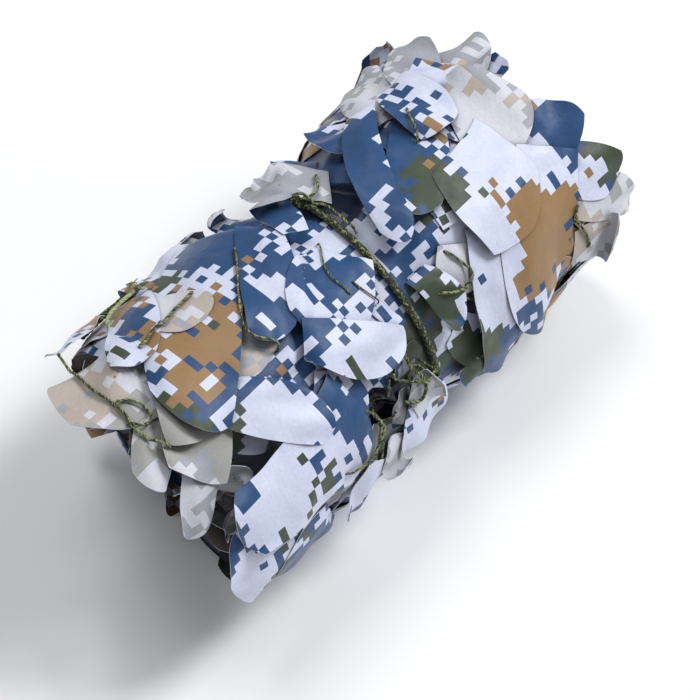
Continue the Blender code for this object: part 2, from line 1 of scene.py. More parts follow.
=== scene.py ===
"""Dressed scene of a rolled camouflage net.

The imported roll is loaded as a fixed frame, and each of its soft solids is replaced by
thin, creased cloth with a pixel camouflage print, by braided cords and by the wound
turns that show at the ends.  Every lobe of the cloth is laid on what lies beneath it,
in the order of the tables below.
"""

import logging
import math
from dataclasses import dataclass, field
from enum import Enum

import bpy
import numpy as np
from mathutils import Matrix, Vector


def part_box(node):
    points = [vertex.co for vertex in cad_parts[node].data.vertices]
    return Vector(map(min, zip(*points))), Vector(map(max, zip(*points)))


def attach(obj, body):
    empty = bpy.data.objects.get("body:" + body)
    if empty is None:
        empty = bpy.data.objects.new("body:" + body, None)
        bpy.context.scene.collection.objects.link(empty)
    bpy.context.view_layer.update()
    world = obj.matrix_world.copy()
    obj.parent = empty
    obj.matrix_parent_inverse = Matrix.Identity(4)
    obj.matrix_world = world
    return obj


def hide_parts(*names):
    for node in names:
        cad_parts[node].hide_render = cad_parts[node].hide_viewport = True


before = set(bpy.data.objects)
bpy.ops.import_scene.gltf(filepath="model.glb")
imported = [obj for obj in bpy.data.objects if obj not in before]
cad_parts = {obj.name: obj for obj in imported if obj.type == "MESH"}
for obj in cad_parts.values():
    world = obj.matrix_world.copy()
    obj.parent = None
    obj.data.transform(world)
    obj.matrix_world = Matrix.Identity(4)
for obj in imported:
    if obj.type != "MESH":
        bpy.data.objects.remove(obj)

Array = np.ndarray
LOG = logging.getLogger("rolled_net")
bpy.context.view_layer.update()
CELL = 0.0062                # side of one square of the print, metres
UNROLL = 0.100               # radius at which arc lengths of the tables are taken
UNROLL_MM = 100.0            # the same radius in the unit of the tables
TURN = 2.0 * math.pi
LOWEST = 0.0003              # no cloth lies lower than this over the floor


class Face(Enum):
    """The side of the cloth that is turned outwards."""

    PRINTED = "printed"
    REVERSE = "reverse"

    @property
    def slot(self) -> str:
        """Return the name of the slot that this side's finish goes by."""
        return "printed_cloth" if self is Face.PRINTED else "cloth_reverse"


class Ink(Enum):
    """The tones of the print; pale is the bare ground."""

    BLUE = "blue"
    TAN = "tan"
    OLIVE = "olive"
    PALE = "pale"


@dataclass(frozen=True)
class Fold:
    """A long wave of the wound cloth: waves round and along, phase, and height in mm."""

    around: float
    along: float
    phase: float
    height: float


@dataclass(frozen=True)
class Ply:
    """A panel that stands up from the wound cloth, or a hollow if its height is negative.

    Places and sizes are in mm, the turn and the heading in degrees.
    """

    x: float
    turn: float
    heading: float
    length: float
    width: float
    height: float

    def swell(self, x: Array, turn: Array, edge: float, deepen: float) -> Array:
        """Return how far the cloth stands up at each place.

        Args:
            x: places along the roll, metres.
            turn: angles round it.
            edge: share of the size over which the panel drops to its neighbour.
            deepen: how much deeper than stated a hollow is.

        Returns:
            The heights in metres, negative in a hollow.
        """
        along = x * 1000.0 - self.x
        apart = (turn - math.radians(self.turn) + math.pi) % TURN - math.pi
        across = apart * UNROLL * 1000.0
        heading = math.radians(self.heading)
        near = np.abs(along * math.cos(heading) + across * math.sin(heading))
        wide = np.abs(across * math.cos(heading) - along * math.sin(heading))
        near = near * 2.0 / self.length
        wide = wide * 2.0 / self.width
        reach = (near ** 3.0 + wide ** 3.0) ** (1.0 / 3.0)
        step = np.clip((1.0 - reach) / edge, 0.0, 1.0)
        height = self.height * (deepen if self.height < 0.0 else 1.0)
        return 0.001 * height * step * step * (3.0 - 2.0 * step)

    def holds(self, x: float, turn: float, reach: float) -> bool:
        """Return whether this is a hollow with a place, in mm and degrees, within reach.

        Args:
            x: place along the roll, mm.
            turn: place round it, degrees.
            reach: how near it has to lie, mm.

        Returns:
            True for a hollow that near.
        """
        apart = (turn - self.turn + 180.0) % 360.0 - 180.0
        far = math.hypot(x - self.x, math.radians(apart) * UNROLL * 1000.0)
        return self.height < 0.0 and far < reach


@dataclass(frozen=True)
class Tone:
    """A patch of the roll where the print leans to one tone; mm and degrees."""

    x: float
    turn: float
    reach: float
    ink: Ink


@dataclass(frozen=True)
class EndLeaf:
    """A tongue of cut cloth between the turns of an end.

    The turn is in degrees, the share is of the radius, and the sizes and bend are in mm.
    """

    near: bool
    turn: float
    share: float
    length: float
    width: float
    bend: float
    face: Face


@dataclass(frozen=True)
class Route:
    """A cord of the net: radius and lift in mm, places along (mm) and round (degrees)."""

    name: str
    radius: float
    lift: float
    places: tuple[tuple[float, float], ...]


# the lobes that stand for a solid of the frame; lengths in mm, turns in degrees
LOBE_COLUMNS = ("name", "root_x", "root_turn", "tip_x", "tip_turn", "tip_radius",
                "width", "bow", "lean", "roundness", "curl", "face")
LOBES = (
    ("mouth_low", -182, 22, -236, 55, 88, 27, 8, 8, 0.50, 0, "reverse"),
    ("mouth_side", -182, 2, -241, 25, 90, 31, 2, -6, 0.20, 0, "reverse"),
    ("mouth_back", -110, -140, -172, -134, 92, 66, 0, 8, 0.55, 3, "reverse"),
    ("mouth_floor", -128, 146, -197, 140, 92, 66, 0, 8, 0.50, 0, "reverse"),
    ("under_far", 18, 120, 104, 136, 102, 80, 0, -9, 0.50, 3, "printed"),
    ("mouth_under", -158, 88, -235, 76, 101, 84, 2, 5, 1.00, 0, "printed"),
    ("mouth_green", -140, 92, -192, 104, 103, 56, 2, 8, 0.80, 0, "printed"),
    ("near_reverse", -176, 0, -238, -30, 104, 60, -1, 8, 0.30, 2, "reverse"),
    ("near_cheek", -174, 12, -215, 36, 98, 48, 0, -6, 0.15, 0, "reverse"),
    ("near_lavender", -166, 0, -203, 24, 103, 45, 2, 8, 0.60, 0, "reverse"),
    ("back_near_tip", -98, -124, -184, -104, 104, 78, -4, 10, 0.55, 4, "reverse"),
    ("back_near_low", -26, -118, -112, -146, 104, 86, 6, -12, 0.50, 0, "printed"),
    ("back_near_wide", -40, -80, -146, -98, 106, 96, 4, 14, 0.45, 5, "printed"),
    ("under_near", -44, 122, -142, 140, 102, 84, 0, 10, 0.50, 0, "printed"),
    ("near_loop", -157, -64, -206, -46, 113, 34, -1, -5, 0.60, 4, "printed"),
    ("near_back", -57, -41, -128, -64, 111, 70, -13, 8, 0.40, 2, "printed"),
    ("near_finger", -28, -33, -40, -62, 110, 18, -9, 0, 0.70, 3, "printed"),
    ("waist_low", -90, 42, -139, 76, 106, 50, -5, -8, 0.40, 0, "printed"),
    ("low_tip", -92, 86, -124, 104, 108, 38, 0, 6, 0.50, 3, "printed"),
    ("low_curl", -70, 86, -84, 104, 110, 30, 0, -4, 0.60, 6, "reverse"),
    ("low_tan", -30, 78, -53, 101, 108, 52, 0, 8, 0.45, 2, "printed"),
    ("near_big", -95, 50, -220, 58, 110, 59, -17, -6, 0.50, 0, "printed"),
    ("near_right", -176, 14, -120, 52, 112, 40, 3, 6, 0.60, 2, "printed"),
    ("near_brown", -64, -43, -198, 20, 110, 64, -2, -12, 0.40, 0, "printed"),
    ("near_curl", -156, -32, -123, -7, 105, 37, 1, -5, 0.80, 1, "reverse"),
    ("near_patch", -136, -45, -192, -11, 110, 38, 0, 6, 0.40, 2, "printed"),
    ("near_mid", -46, -25, -116, 17, 110, 38, -2, 5, 0.40, 0, "printed"),
    ("waist_panel", -24, 9, -90, 30, 108, 62, -3, -10, 0.40, 0, "printed"),
    ("waist_white", -98, 24, -42, 51, 110, 38, 2, -8, 0.60, 2, "printed"),
    ("waist_flap", -52, 80, -24, 76, 104, 29, -4, 3, 0.60, 5, "reverse"),
    ("waist_rolled", -38, -8, -19, -35, 102, 26, 0, 5, 0.50, 7, "printed"),
    ("back_far_low", 40, -124, 140, -146, 104, 84, 0, 10, 0.50, 0, "reverse"),
    ("back_far_wide", 28, -84, 126, -106, 106, 92, -4, -12, 0.45, 4, "printed"),
    ("end_far_low", 100, 116, 194, 126, 94, 84, 0, 9, 0.50, 0, "printed"),
    ("end_far_back", 108, -96, 200, -114, 96, 80, 4, -10, 0.50, 4, "printed"),
    ("back_far_top", 92, -58, 170, -78, 106, 58, 4, 10, 0.55, 3, "printed"),
    ("end_far_top", 124, -28, 186, -14, 102, 54, 0, -8, 0.60, 0, "reverse"),
    ("far_grey", 17, -20, -28, -44, 108, 46, 7, -8, 0.50, 3, "reverse"),
    ("far_beige", 90, -19, 133, -61, 112, 41, -7, 7, 0.60, 3, "reverse"),
    ("far_peak", 124, -21, 164, -47, 112, 41, -5, -5, 0.50, 3, "reverse"),
    ("far_tan", 133, -3, 126, -29, 112, 32, 9, 6, 0.50, 0, "printed"),
    ("far_point", 73, -26, 43, -43, 110, 41, -4, 7, 0.50, 3, "printed"),
    ("far_curls", 128, 78, 179, 88, 103, 36, 0, -6, 0.50, 3, "reverse"),
    ("far_bright", 140, 60, 199, 80, 106, 34, 0, 5, 0.50, 0, "reverse"),
    ("far_edge", 138, 42, 187, 65, 108, 42, -3, -6, 0.50, 0, "printed"),
    ("far_rise", 126, 36, 175, 24, 109, 52, 6, 9, 0.40, 0, "printed"),
    ("far_white", 111, 21, 151, -3, 112, 60, -1, -9, 0.35, 3, "reverse"),
    ("low_strip", 60, 96, 6, 100, 102, 34, 0, 5, 0.40, 0, "printed"),
    ("low_olive", 5, 36, 9, 64, 104, 25, -2, 3, 0.60, 4, "printed"),
    ("low_print", 12, 70, 46, 94, 104, 38, 3, -5, 0.50, 0, "printed"),
    ("far_left_slit", 66, 38, 42, 106, 108, 41, 13, 6, 0.40, 2, "printed"),
    ("far_right_slit", 147, 35, 63, 93, 112, 71, 7, -10, 0.50, 2, "printed"),
    ("far_green", 101, -13, 26, 19, 112, 43, 0, 6, 0.50, 0, "printed"),
    ("far_middle", 124, 22, 50, 30, 113, 74, -16, -12, 0.30, 0, "printed"),
    ("far_check", 114, -30, 94, 4, 112, 43, 4, 6, 0.40, 2, "printed"),
    ("far_dark", 82, -31, 8, 24, 104, 28, 13, 4, 0.45, 2, "printed"),
)

# the long folds of the wound cloth
FOLDS = (
    Fold(2, 1.0, 0.6, 2.0),
    Fold(3, -1.5, 2.1, 1.8),
    Fold(5, 1.5, 4.4, 1.5),
    Fold(8, -2.0, 1.2, 1.1),
)

# panels and hollows of the wound cloth
PLIES = (
    Ply(-150, -150, 20, 130, 84, 5.4),
    Ply(-96, 172, -32, 140, 92, 4.3),
    Ply(-146, 62, 12, 104, 86, 4.6),
    Ply(-74, -106, 42, 104, 84, 4.9),
    Ply(-104, 2, -24, 124, 90, 4.1),
    Ply(-70, 112, 24, 92, 72, 4.6),
    Ply(66, -140, -30, 124, 90, 5.4),
    Ply(124, 156, 26, 110, 92, 4.6),
    Ply(112, -64, 14, 120, 84, 4.3),
    Ply(62, 22, -26, 110, 90, 4.1),
    Ply(124, 92, 32, 100, 84, 4.6),
    Ply(52, 106, -18, 100, 74, 4.1),
    Ply(-168, -60, 70, 96, 44, 3.5),
    Ply(150, -130, 80, 110, 40, 3.8),
    Ply(-76, 76, 78, 66, 40, -12.0),
    Ply(-42, 72, 80, 52, 30, -8.0),
    Ply(8, -14, 60, 52, 40, -10.0),
    Ply(25, 56, 70, 58, 40, -11.0),
    Ply(-178, 44, 60, 60, 44, -15.0),
    Ply(-142, 90, 20, 44, 34, -9.0),
    Ply(-138, -30, -30, 48, 38, -8.0),
    Ply(-150, 120, 30, 50, 36, -9.0),
    Ply(70, -100, 40, 60, 38, -8.0),
    Ply(-90, -150, -40, 60, 40, -8.0),
    Ply(150, 108, 20, 50, 36, -9.0),
)

# where the print leans to a tone
TONES = (
    Tone(-50, -8, 44, Ink.BLUE),
    Tone(-90, 24, 22, Ink.BLUE),
    Tone(30, -8, 32, Ink.BLUE),
    Tone(-108, 58, 26, Ink.BLUE),
    Tone(-192, 54, 18, Ink.BLUE),
    Tone(-172, -36, 24, Ink.BLUE),
    Tone(-208, 34, 13, Ink.BLUE),
    Tone(74, 108, 30, Ink.BLUE),
    Tone(172, 32, 22, Ink.BLUE),
    Tone(-178, 8, 21, Ink.TAN),
    Tone(-146, 2, 15, Ink.TAN),
    Tone(-118, -4, 14, Ink.TAN),
    Tone(-84, -6, 14, Ink.TAN),
    Tone(-60, 4, 12, Ink.TAN),
    Tone(-224, -24, 24, Ink.TAN),
    Tone(108, 62, 34, Ink.TAN),
    Tone(-22, 108, 16, Ink.TAN),
    Tone(142, -24, 20, Ink.TAN),
    Tone(44, 14, 26, Ink.OLIVE),
    Tone(2, 46, 20, Ink.OLIVE),
    Tone(-178, 98, 26, Ink.OLIVE),
    Tone(28, 84, 18, Ink.OLIVE),
    Tone(-150, 38, 26, Ink.PALE),
    Tone(-176, 60, 30, Ink.PALE),
    Tone(-130, 56, 22, Ink.PALE),
    Tone(-80, -36, 26, Ink.BLUE),
    Tone(60, 44, 28, Ink.PALE),
    Tone(-52, 42, 26, Ink.PALE),
    Tone(-232, 84, 24, Ink.PALE),
    Tone(-232, 30, 22, Ink.PALE),
    Tone(114, 26, 24, Ink.PALE),
)

# lobes whose tips roll right over: where the roll-up starts, as a share of the length,
# and its radius in mm
ROLL_UPS = {
    "waist_rolled": (0.55, 6.0),
    "low_curl": (0.55, 6.0),
    "far_grey": (0.80, 9.0),
    "far_curls": (0.60, 7.0),
    "waist_flap": (0.55, 9.0),
    "near_finger": (0.70, 5.0),
    "mouth_back": (0.70, 9.0),
    "back_near_tip": (0.74, 9.0),
    "back_far_top": (0.76, 9.0),
}

# the tongues in the open mouth and in the far end
END_LEAVES = (
    EndLeaf(True, 40, 0.62, 46, 40, -7, Face.PRINTED),
    EndLeaf(True, 84, 0.74, 44, 38, -9, Face.REVERSE),
    EndLeaf(True, 128, 0.58, 40, 36, 6, Face.PRINTED),
    EndLeaf(True, -172, 0.78, 36, 44, -8, Face.REVERSE),
    EndLeaf(True, -128, 0.70, 40, 40, -8, Face.PRINTED),
    EndLeaf(True, -78, 0.80, 42, 40, -10, Face.PRINTED),
    EndLeaf(True, -30, 0.52, 44, 34, 7, Face.REVERSE),
    EndLeaf(True, 8, 0.34, 36, 30, -5, Face.PRINTED),
    EndLeaf(True, 150, 0.36, 38, 30, 5, Face.PRINTED),
    EndLeaf(False, 20, 0.70, 34, 42, -8, Face.PRINTED),
    EndLeaf(False, 66, 0.56, 36, 38, 7, Face.REVERSE),
    EndLeaf(False, 104, 0.78, 32, 44, -9, Face.PRINTED),
    EndLeaf(False, 150, 0.64, 32, 40, 6, Face.PRINTED),
    EndLeaf(False, -160, 0.80, 30, 46, -9, Face.REVERSE),
    EndLeaf(False, -112, 0.60, 36, 38, -7, Face.PRINTED),
    EndLeaf(False, -64, 0.76, 34, 44, -9, Face.REVERSE),
    EndLeaf(False, -20, 0.46, 34, 34, 6, Face.PRINTED),
    EndLeaf(False, 110, 0.32, 30, 28, -4, Face.PRINTED),
)

# lobes of the dressed cloth that lie low between the larger ones
LOW_LOBES = (
    ("hole_pale", 38, 37, 18, 55, 101, 32, 0, 3, 0.40, 1, "reverse"),
    ("near_small", -200, -30, -186, -19, 112, 30, 0, 0, 0.50, 1, "printed"),
    ("waist_tongue", -34, 20, -26, 48, 97, 12, 6, 0, 0.60, 0, "printed"),
    ("near_grey", -61, -46, -74, -62, 110, 39, -6, 0, 0.50, 2, "reverse"),
    ("far_finger", 33, -38, 14, -49, 110, 28, 0, 4, 0.60, 2, "printed"),
    ("far_lavender", 143, -7, 172, 0, 112, 21, 0, 0, 0.50, 1, "printed"),
    ("low_blue", 92, 92, 50, 104, 104, 40, 0, -4, 0.50, 1, "printed"),
)

# net cords that lie low, under the lobes
CORDS = (
    Route("waist_loop", 1.0, 0.5, ((-22, 78), (-34, 66), (-44, 72), (-52, 84), (-60, 92))),
    Route("hole_side", 1.0, 0.6, ((20, -30), (14, -20), (4, -22), (-8, -26))),
    Route("right_deep", 1.0, 0.4, ((12, 44), (22, 56), (34, 64), (44, 72))),
    Route("long_slit", 1.0, 0.3, ((80, 42), (66, 56), (52, 72), (44, 84))),
    Route("low_gap", 1.1, 0.5, ((-62, 58), (-74, 68), (-92, 78), (-104, 88))),
    Route("low_gap_two", 1.0, 0.6, ((-66, 74), (-80, 80), (-92, 92), (-86, 100))),
    Route("mouth_floor", 1.1, 0.5, ((-200, 60), (-206, 76), (-198, 92), (-186, 104))),
    Route("back_seam", 1.1, 0.4, ((-120, -130), (-90, -116), (-60, -124), (-30, -110))),
    Route("back_far_seam", 1.1, 0.4, ((30, -110), (60, -122), (96, -118), (130, -126))),
    Route("far_back_net", 1.1, 0.4, ((150, -60), (160, -80), (152, -96), (160, -112))),
)

# net cords that lie over the cloth and dip into slits at both ends
TOP_CORDS = (
    Route("curl_net", 1.1, 0.5, (
        (-120, -18), (-126, -17), (-140, -17), (-153, -15), (-160, -16), (-173, -14),
        (-179, -14))),
    Route("reverse_net", 1.1, 0.6, (
        (-204, -45), (-210, -37), (-217, -20), (-218, -5), (-221, 4), (-219, 13), (-215, 19))),
    Route("reverse_loop", 1.0, 0.6, (
        (-219, 0), (-218, -6), (-211, -6), (-206, 0), (-209, 6), (-217, 6), (-222, 1))),
    Route("waist_hole", 1.0, 0.8, (
        (-128, 74), (-119, 76), (-102, 77), (-84, 72), (-87, 64), (-92, 60))),
    Route("waist_fork", 1.4, 1.4, ((-41, 54), (-41, 59), (-40, 70), (-46, 75), (-56, 74))),
    Route("waist_cross", 1.0, 1.6, (
        (-63, 55), (-58, 60), (-53, 64), (-45, 67), (-33, 69), (-25, 69))),
    Route("hole_left", 1.1, 1.6, (
        (21, -30), (15, -25), (6, -20), (-3, -19), (-11, -21), (-16, -23))),
    Route("hole_cross", 1.1, 1.4, ((-15, -23), (-9, -19), (-2, -13), (-3, -5), (-4, 1), (-4, 6))),
    Route("panel_seam", 0.6, 0.1, (
        (-28, -3), (-32, 1), (-42, 8), (-46, 14), (-46, 20), (-46, 25))),
    Route("panel_end", 0.6, 0.1, ((-38, 20), (-37, 24), (-35, 29), (-33, 34))),
    Route("right_loop", 1.1, 1.2, (
        (29, 36), (32, 41), (35, 48), (32, 51), (25, 52), (14, 50), (6, 47))),
    Route("far_edge", 1.1, 0.5, ((143, 61), (136, 64), (137, 70), (141, 78), (142, 84))),
    Route("far_top", 0.9, 0.2, ((92, -13), (86, -9), (79, -3), (73, 0))),
    Route("slit_net", 0.8, 0.0, (
        (-72, -22), (-79, -17), (-92, -10), (-104, -4), (-121, 6), (-122, 12), (-116, 17),
        (-113, 21))),
)

# the thick edge rope where it shows between the lobes
EDGE_ROPE = ((-110, -56), (-124, -59), (-138, -61), (-150, -62), (-162, -61), (-173, -58))

# the pale flat cord by the mouth and the strands of its frayed end
TAPE = ((-168, -40), (-158, -43), (-148, -44), (-139, -45), (-132, -46))
TUFT = (
    ((-134, -46), (-130, -48), (-127, -50)),
    ((-134, -46), (-129, -47), (-125, -48)),
    ((-134, -46), (-129, -46), (-124, -46)),
    ((-134, -46), (-129, -44), (-126, -43)),
    ((-134, -46), (-131, -43), (-129, -40)),
)


def linear(rgb: tuple[int, int, int]) -> tuple[float, float, float, float]:
    """Turn a display colour into the linear colour that a shader takes.

    Args:
        rgb: red, green and blue from 0 to 255.

    Returns:
        The linear colour with an alpha of one.
    """
    out = []
    for channel in rgb:
        share = channel / 255.0
        out.append(share / 12.92 if share <= 0.04045 else ((share + 0.055) / 1.055) ** 2.4)
    return (out[0], out[1], out[2], 1.0)


@dataclass(frozen=True)
class RollShape:
    """The wound form that every piece is laid on, as the solids have it."""

    axis_height: float = 0.098
    radius: float = 0.0965
    near_end: float = -0.190
    far_end: float = 0.172
    waist_x: float = -0.003
    waist_radius: float = 0.0895
    waist_spread: float = 0.030
    lean_reach: float = 0.0114
    lean_phase: float = 120.0
    mouth_depth: float = 0.048
    far_depth: float = 0.032
    mouth_step: float = 0.020
    mouth_step_turn: float = -135.0
    mouth_step_start: float = -0.090
    turn_pitch: float = 0.024
    turn_ridge: float = 0.0150
    turn_wobble: float = 0.10
    corner: float = 0.010
    side_sag: float = 0.0025
    gathers: int = 13
    gather_height: float = 0.0032
    gather_reach: float = 0.050
    gather_skew: float = 9.0
    waist_flat: float = 0.005
    tie_flat: float = 0.006
    tie_fade: float = 0.030
    dish: float = 2.2
    ply_edge: float = 0.15
    pit_share: float = 1.45
    shift: tuple[float, float, float] = (0.0, 0.0, 0.0)

    def lean(self, turn: Array) -> Array:
        """Return how far the ring of the tie leans along X at each angle."""
        return self.lean_reach * np.cos(turn + math.radians(self.lean_phase))

    def step_back(self, turn: Array) -> Array:
        """Return how far the rim of the mouth steps back on one side."""
        facing = np.maximum(np.cos(turn - math.radians(self.mouth_step_turn)), 0.0)
        return self.mouth_step * facing ** 2

    def hollow(self, share: Array, turn: Array, depth: float) -> Array:
        """Return how far the turns in an end lie inside its rim.

        Args:
            share: shares of the radius.
            turn: angles round the roll.
            depth: how deep the end is.

        Returns:
            The distances behind the rim.
        """
        phase = share * self.radius / self.turn_pitch - turn / TURN
        phase = phase + self.turn_wobble * np.sin(2.0 * turn + 7.0 * share)
        saw = phase - np.floor(phase)
        fade = np.minimum(1.0, 3.0 * (1.0 - share)) * np.minimum(1.0, 2.5 * share)
        ridge = self.turn_ridge * (1.0 - np.abs(2.0 * saw - 1.0)) * fade
        return depth * (1.0 - share ** self.dish) - ridge

    def ply_height(self, x: Array, turn: Array) -> Array:
        """Return how far the panels of the cloth stand up at each place.

        Args:
            x: places along the roll.
            turn: angles round it.

        Returns:
            The heights, negative in the hollows.
        """
        total = np.zeros(np.broadcast(x, turn).shape)
        for ply in PLIES:
            total += ply.swell(x, turn, self.ply_edge, self.pit_share)
        return total

    def side_radius(self, x: Array, turn: Array) -> Array:
        """Return the radius of the wound cloth, x being taken before the tie's lean.

        Args:
            x: places along the roll.
            turn: angles round it.

        Returns:
            The radii.
        """
        away = np.abs(x - self.waist_x)
        pinch = np.exp(-((np.maximum(away - self.waist_flat, 0.0) / self.waist_spread) ** 2))
        radius = self.radius - (self.radius - self.waist_radius) * pinch
        free = 1.0 - np.exp(-((np.maximum(away - self.tie_flat, 0.0) / self.tie_fade) ** 2))
        length = self.far_end - self.near_end
        for fold in FOLDS:
            wave = np.sin(fold.around * turn + fold.along * TURN * x / length + fold.phase)
            radius = radius + 0.001 * fold.height * wave * free
        near_tie = np.exp(-((away / self.gather_reach) ** 2)) * free
        pucker = np.cos(self.gathers * turn + self.gather_skew * x)
        radius = radius + self.gather_height * pucker * near_tie
        return radius + (self.ply_height(x, turn) + self.side_sag * np.sin(turn) ** 2) * free

    def place(self, x: Array, turn: Array, radius: Array) -> Array:
        """Return points at places along, angles round and distances from the axis.

        Args:
            x: places along the roll.
            turn: angles round it.
            radius: distances from the axis.

        Returns:
            The points, none below the floor.
        """
        x, turn, radius = np.broadcast_arrays(x, turn, radius)
        height = np.maximum(self.axis_height + radius * np.cos(turn), 0.0008)
        points = np.stack((x, -radius * np.sin(turn), height), -1)
        return points + np.array(self.shift)

    @staticmethod
    def outward(turn: Array) -> Array:
        """Return the direction away from the axis at each angle."""
        return np.stack((np.zeros_like(turn), -np.sin(turn), np.cos(turn)), -1)

    def rim(self, near: bool, turn: Array) -> Array:
        """Return the radius of an end's rim at each angle; near is the open mouth."""
        place = self.near_end + self.corner if near else self.far_end - self.corner
        return self.side_radius(np.full(turn.shape, place), turn)

    def depth(self, near: bool) -> float:
        """Return how deep an end is; near is the open mouth."""
        return self.mouth_depth if near else self.far_depth


class Ground:
    """Height of what is laid so far, on a grid over the unrolled roll."""

    def __init__(self, step: float = 0.002, start: float = -0.27, columns: int = 260,
                 turns: int = 320) -> None:
        """Set up an empty grid.

        Args:
            step: length of a cell along the roll.
            start: where the grid starts along the roll.
            columns: cells along the roll.
            turns: cells round the roll.
        """
        self.step = step
        self.start = start
        self.radius = np.zeros((columns, turns))

    def cells(self, x: Array, turn: Array) -> tuple[Array, Array]:
        """Return the cell indices of each place.

        Args:
            x: places along the roll.
            turn: angles round it.

        Returns:
            The column and the cell round it.
        """
        column = np.clip(np.rint((x - self.start) / self.step).astype(int), 0,
                         self.radius.shape[0] - 1)
        cell = np.rint(turn / TURN * self.radius.shape[1]).astype(int)
        return column, cell % self.radius.shape[1]

    def add(self, x: Array, turn: Array, radius: Array) -> None:
        """Raise the grid to a patch of places, filled in between its rows and columns.

        Args:
            x: places along the roll.
            turn: angles round it.
            radius: heights there.
        """
        for _ in range(2):
            x, turn, radius = (self.doubled(values) for values in (x, turn, radius))
        column, cell = self.cells(x, turn)
        np.maximum.at(self.radius, (column, cell), radius)

    @staticmethod
    def doubled(values: Array) -> Array:
        """Return a patch with a row and a column added between each two.

        Args:
            values: the patch.

        Returns:
            The finer patch.
        """
        rows = np.empty((values.shape[0] * 2 - 1, values.shape[1]))
        rows[::2] = values
        rows[1::2] = 0.5 * (values[1:] + values[:-1])
        out = np.empty((rows.shape[0], rows.shape[1] * 2 - 1))
        out[:, ::2] = rows
        out[:, 1::2] = 0.5 * (rows[:, 1:] + rows[:, :-1])
        return out

    def over(self, x: Array, turn: Array, reach: float) -> Array:
        """Return the greatest height within a reach of each place.

        Args:
            x: places along the roll.
            turn: angles round it.
            reach: how far round each place to look.

        Returns:
            The heights, zero where nothing is laid.
        """
        column, cell = self.cells(x, turn)
        span = int(round(reach / self.step))
        out = np.zeros(x.shape)
        for du in range(-span, span + 1):
            for dv in range(-span, span + 1):
                if du * du + dv * dv <= span * span + 1:
                    near = np.clip(column + du, 0, self.radius.shape[0] - 1)
                    out = np.maximum(out, self.radius[near, (cell + dv) % self.radius.shape[1]])
        return out


class Shader:
    """A small builder of node materials."""

    def __init__(self, name: str) -> None:
        """Start a material with a Principled shader.

        Args:
            name: the material's name.
        """
        self.material = bpy.data.materials.new(name)
        self.material.use_nodes = True
        self.tree = self.material.node_tree
        self.surface = self.tree.nodes["Principled BSDF"]

    def node(self, kind: str, **settings: object) -> bpy.types.Node:
        """Add a node and set its properties.

        Args:
            kind: the node's type.
            settings: its properties.

        Returns:
            The node.
        """
        made = self.tree.nodes.new(kind)
        for key, value in settings.items():
            setattr(made, key, value)
        return made

    def link(self, source: object, target: object) -> None:
        """Join an output to an input."""
        self.tree.links.new(source, target)

    def feed(self, target: object, value: object) -> None:
        """Give an input a link or a constant.

        Args:
            target: the input.
            value: an output or a constant.
        """
        if hasattr(value, "is_output"):
            self.link(value, target)
        else:
            target.default_value = value

    def math(self, operation: str, first: object, second: object = 0.0,
             clamp: bool = False) -> object:
        """Return the output of a Math node.

        Args:
            operation: what it does.
            first: its first input.
            second: its second input.
            clamp: whether the result is kept from 0 to 1.

        Returns:
            The output.
        """
        made = self.node("ShaderNodeMath", operation=operation, use_clamp=clamp)
        self.feed(made.inputs[0], first)
        self.feed(made.inputs[1], second)
        return made.outputs[0]

    def vector(self, operation: str, first: object, second: object) -> object:
        """Return the output of a Vector Math node.

        Args:
            operation: what it does.
            first: its first input.
            second: its second input.

        Returns:
            The output.
        """
        made = self.node("ShaderNodeVectorMath", operation=operation)
        self.feed(made.inputs[0], first)
        self.feed(made.inputs[1], second)
        return made.outputs[0]

    def mix(self, share: object, first: object, second: object) -> object:
        """Return a colour between two by a share.

        Args:
            share: the share of the second.
            first: the first colour.
            second: the second colour.

        Returns:
            The output.
        """
        made = self.node("ShaderNodeMix", data_type="RGBA")
        self.feed(made.inputs[0], share)
        self.feed(made.inputs[6], first)
        self.feed(made.inputs[7], second)
        return made.outputs[2]

    def ramp(self, value: object, low: float, high: float) -> object:
        """Return a value mapped from low..high to 0..1 and clamped.

        Args:
            value: the value.
            low: what becomes 0.
            high: what becomes 1.

        Returns:
            The output.
        """
        made = self.node("ShaderNodeMapRange", clamp=True)
        self.feed(made.inputs[0], value)
        made.inputs[1].default_value = low
        made.inputs[2].default_value = high
        return made.outputs[0]

    def noise(self, where: object, scale: float, detail: float = 2.0,
              roughness: float = 0.5) -> object:
        """Return the value of a Noise texture.

        Args:
            where: the place.
            scale: waves to a unit.
            detail: finer layers.
            roughness: weight of the finer layers.

        Returns:
            The output.
        """
        made = self.node("ShaderNodeTexNoise")
        self.link(where, made.inputs["Vector"])
        made.inputs["Scale"].default_value = scale
        made.inputs["Detail"].default_value = detail
        made.inputs["Roughness"].default_value = roughness
        return made.outputs[0]

    def bump(self, height: object, strength: float, distance: float,
             normal: object = None) -> object:
        """Return the normal of a Bump node.

        Args:
            height: the relief.
            strength: its strength.
            distance: its height, metres.
            normal: the normal that it is laid on, if any.

        Returns:
            The output.
        """
        made = self.node("ShaderNodeBump")
        made.inputs["Strength"].default_value = strength
        made.inputs["Distance"].default_value = distance
        self.link(height, made.inputs["Height"])
        if normal is not None:
            self.link(normal, made.inputs["Normal"])
        return made.outputs[0]

    def dress(self, color: object, roughness: object, normal: object, sheen: float) -> None:
        """Give the surface its colour, roughness, normal and sheen.

        Args:
            color: the colour's output.
            roughness: the roughness's output.
            normal: the normal's output.
            sheen: weight of the sheen.
        """
        self.link(color, self.surface.inputs["Base Color"])
        self.link(roughness, self.surface.inputs["Roughness"])
        self.link(normal, self.surface.inputs["Normal"])
        self.surface.inputs["Sheen Weight"].default_value = sheen


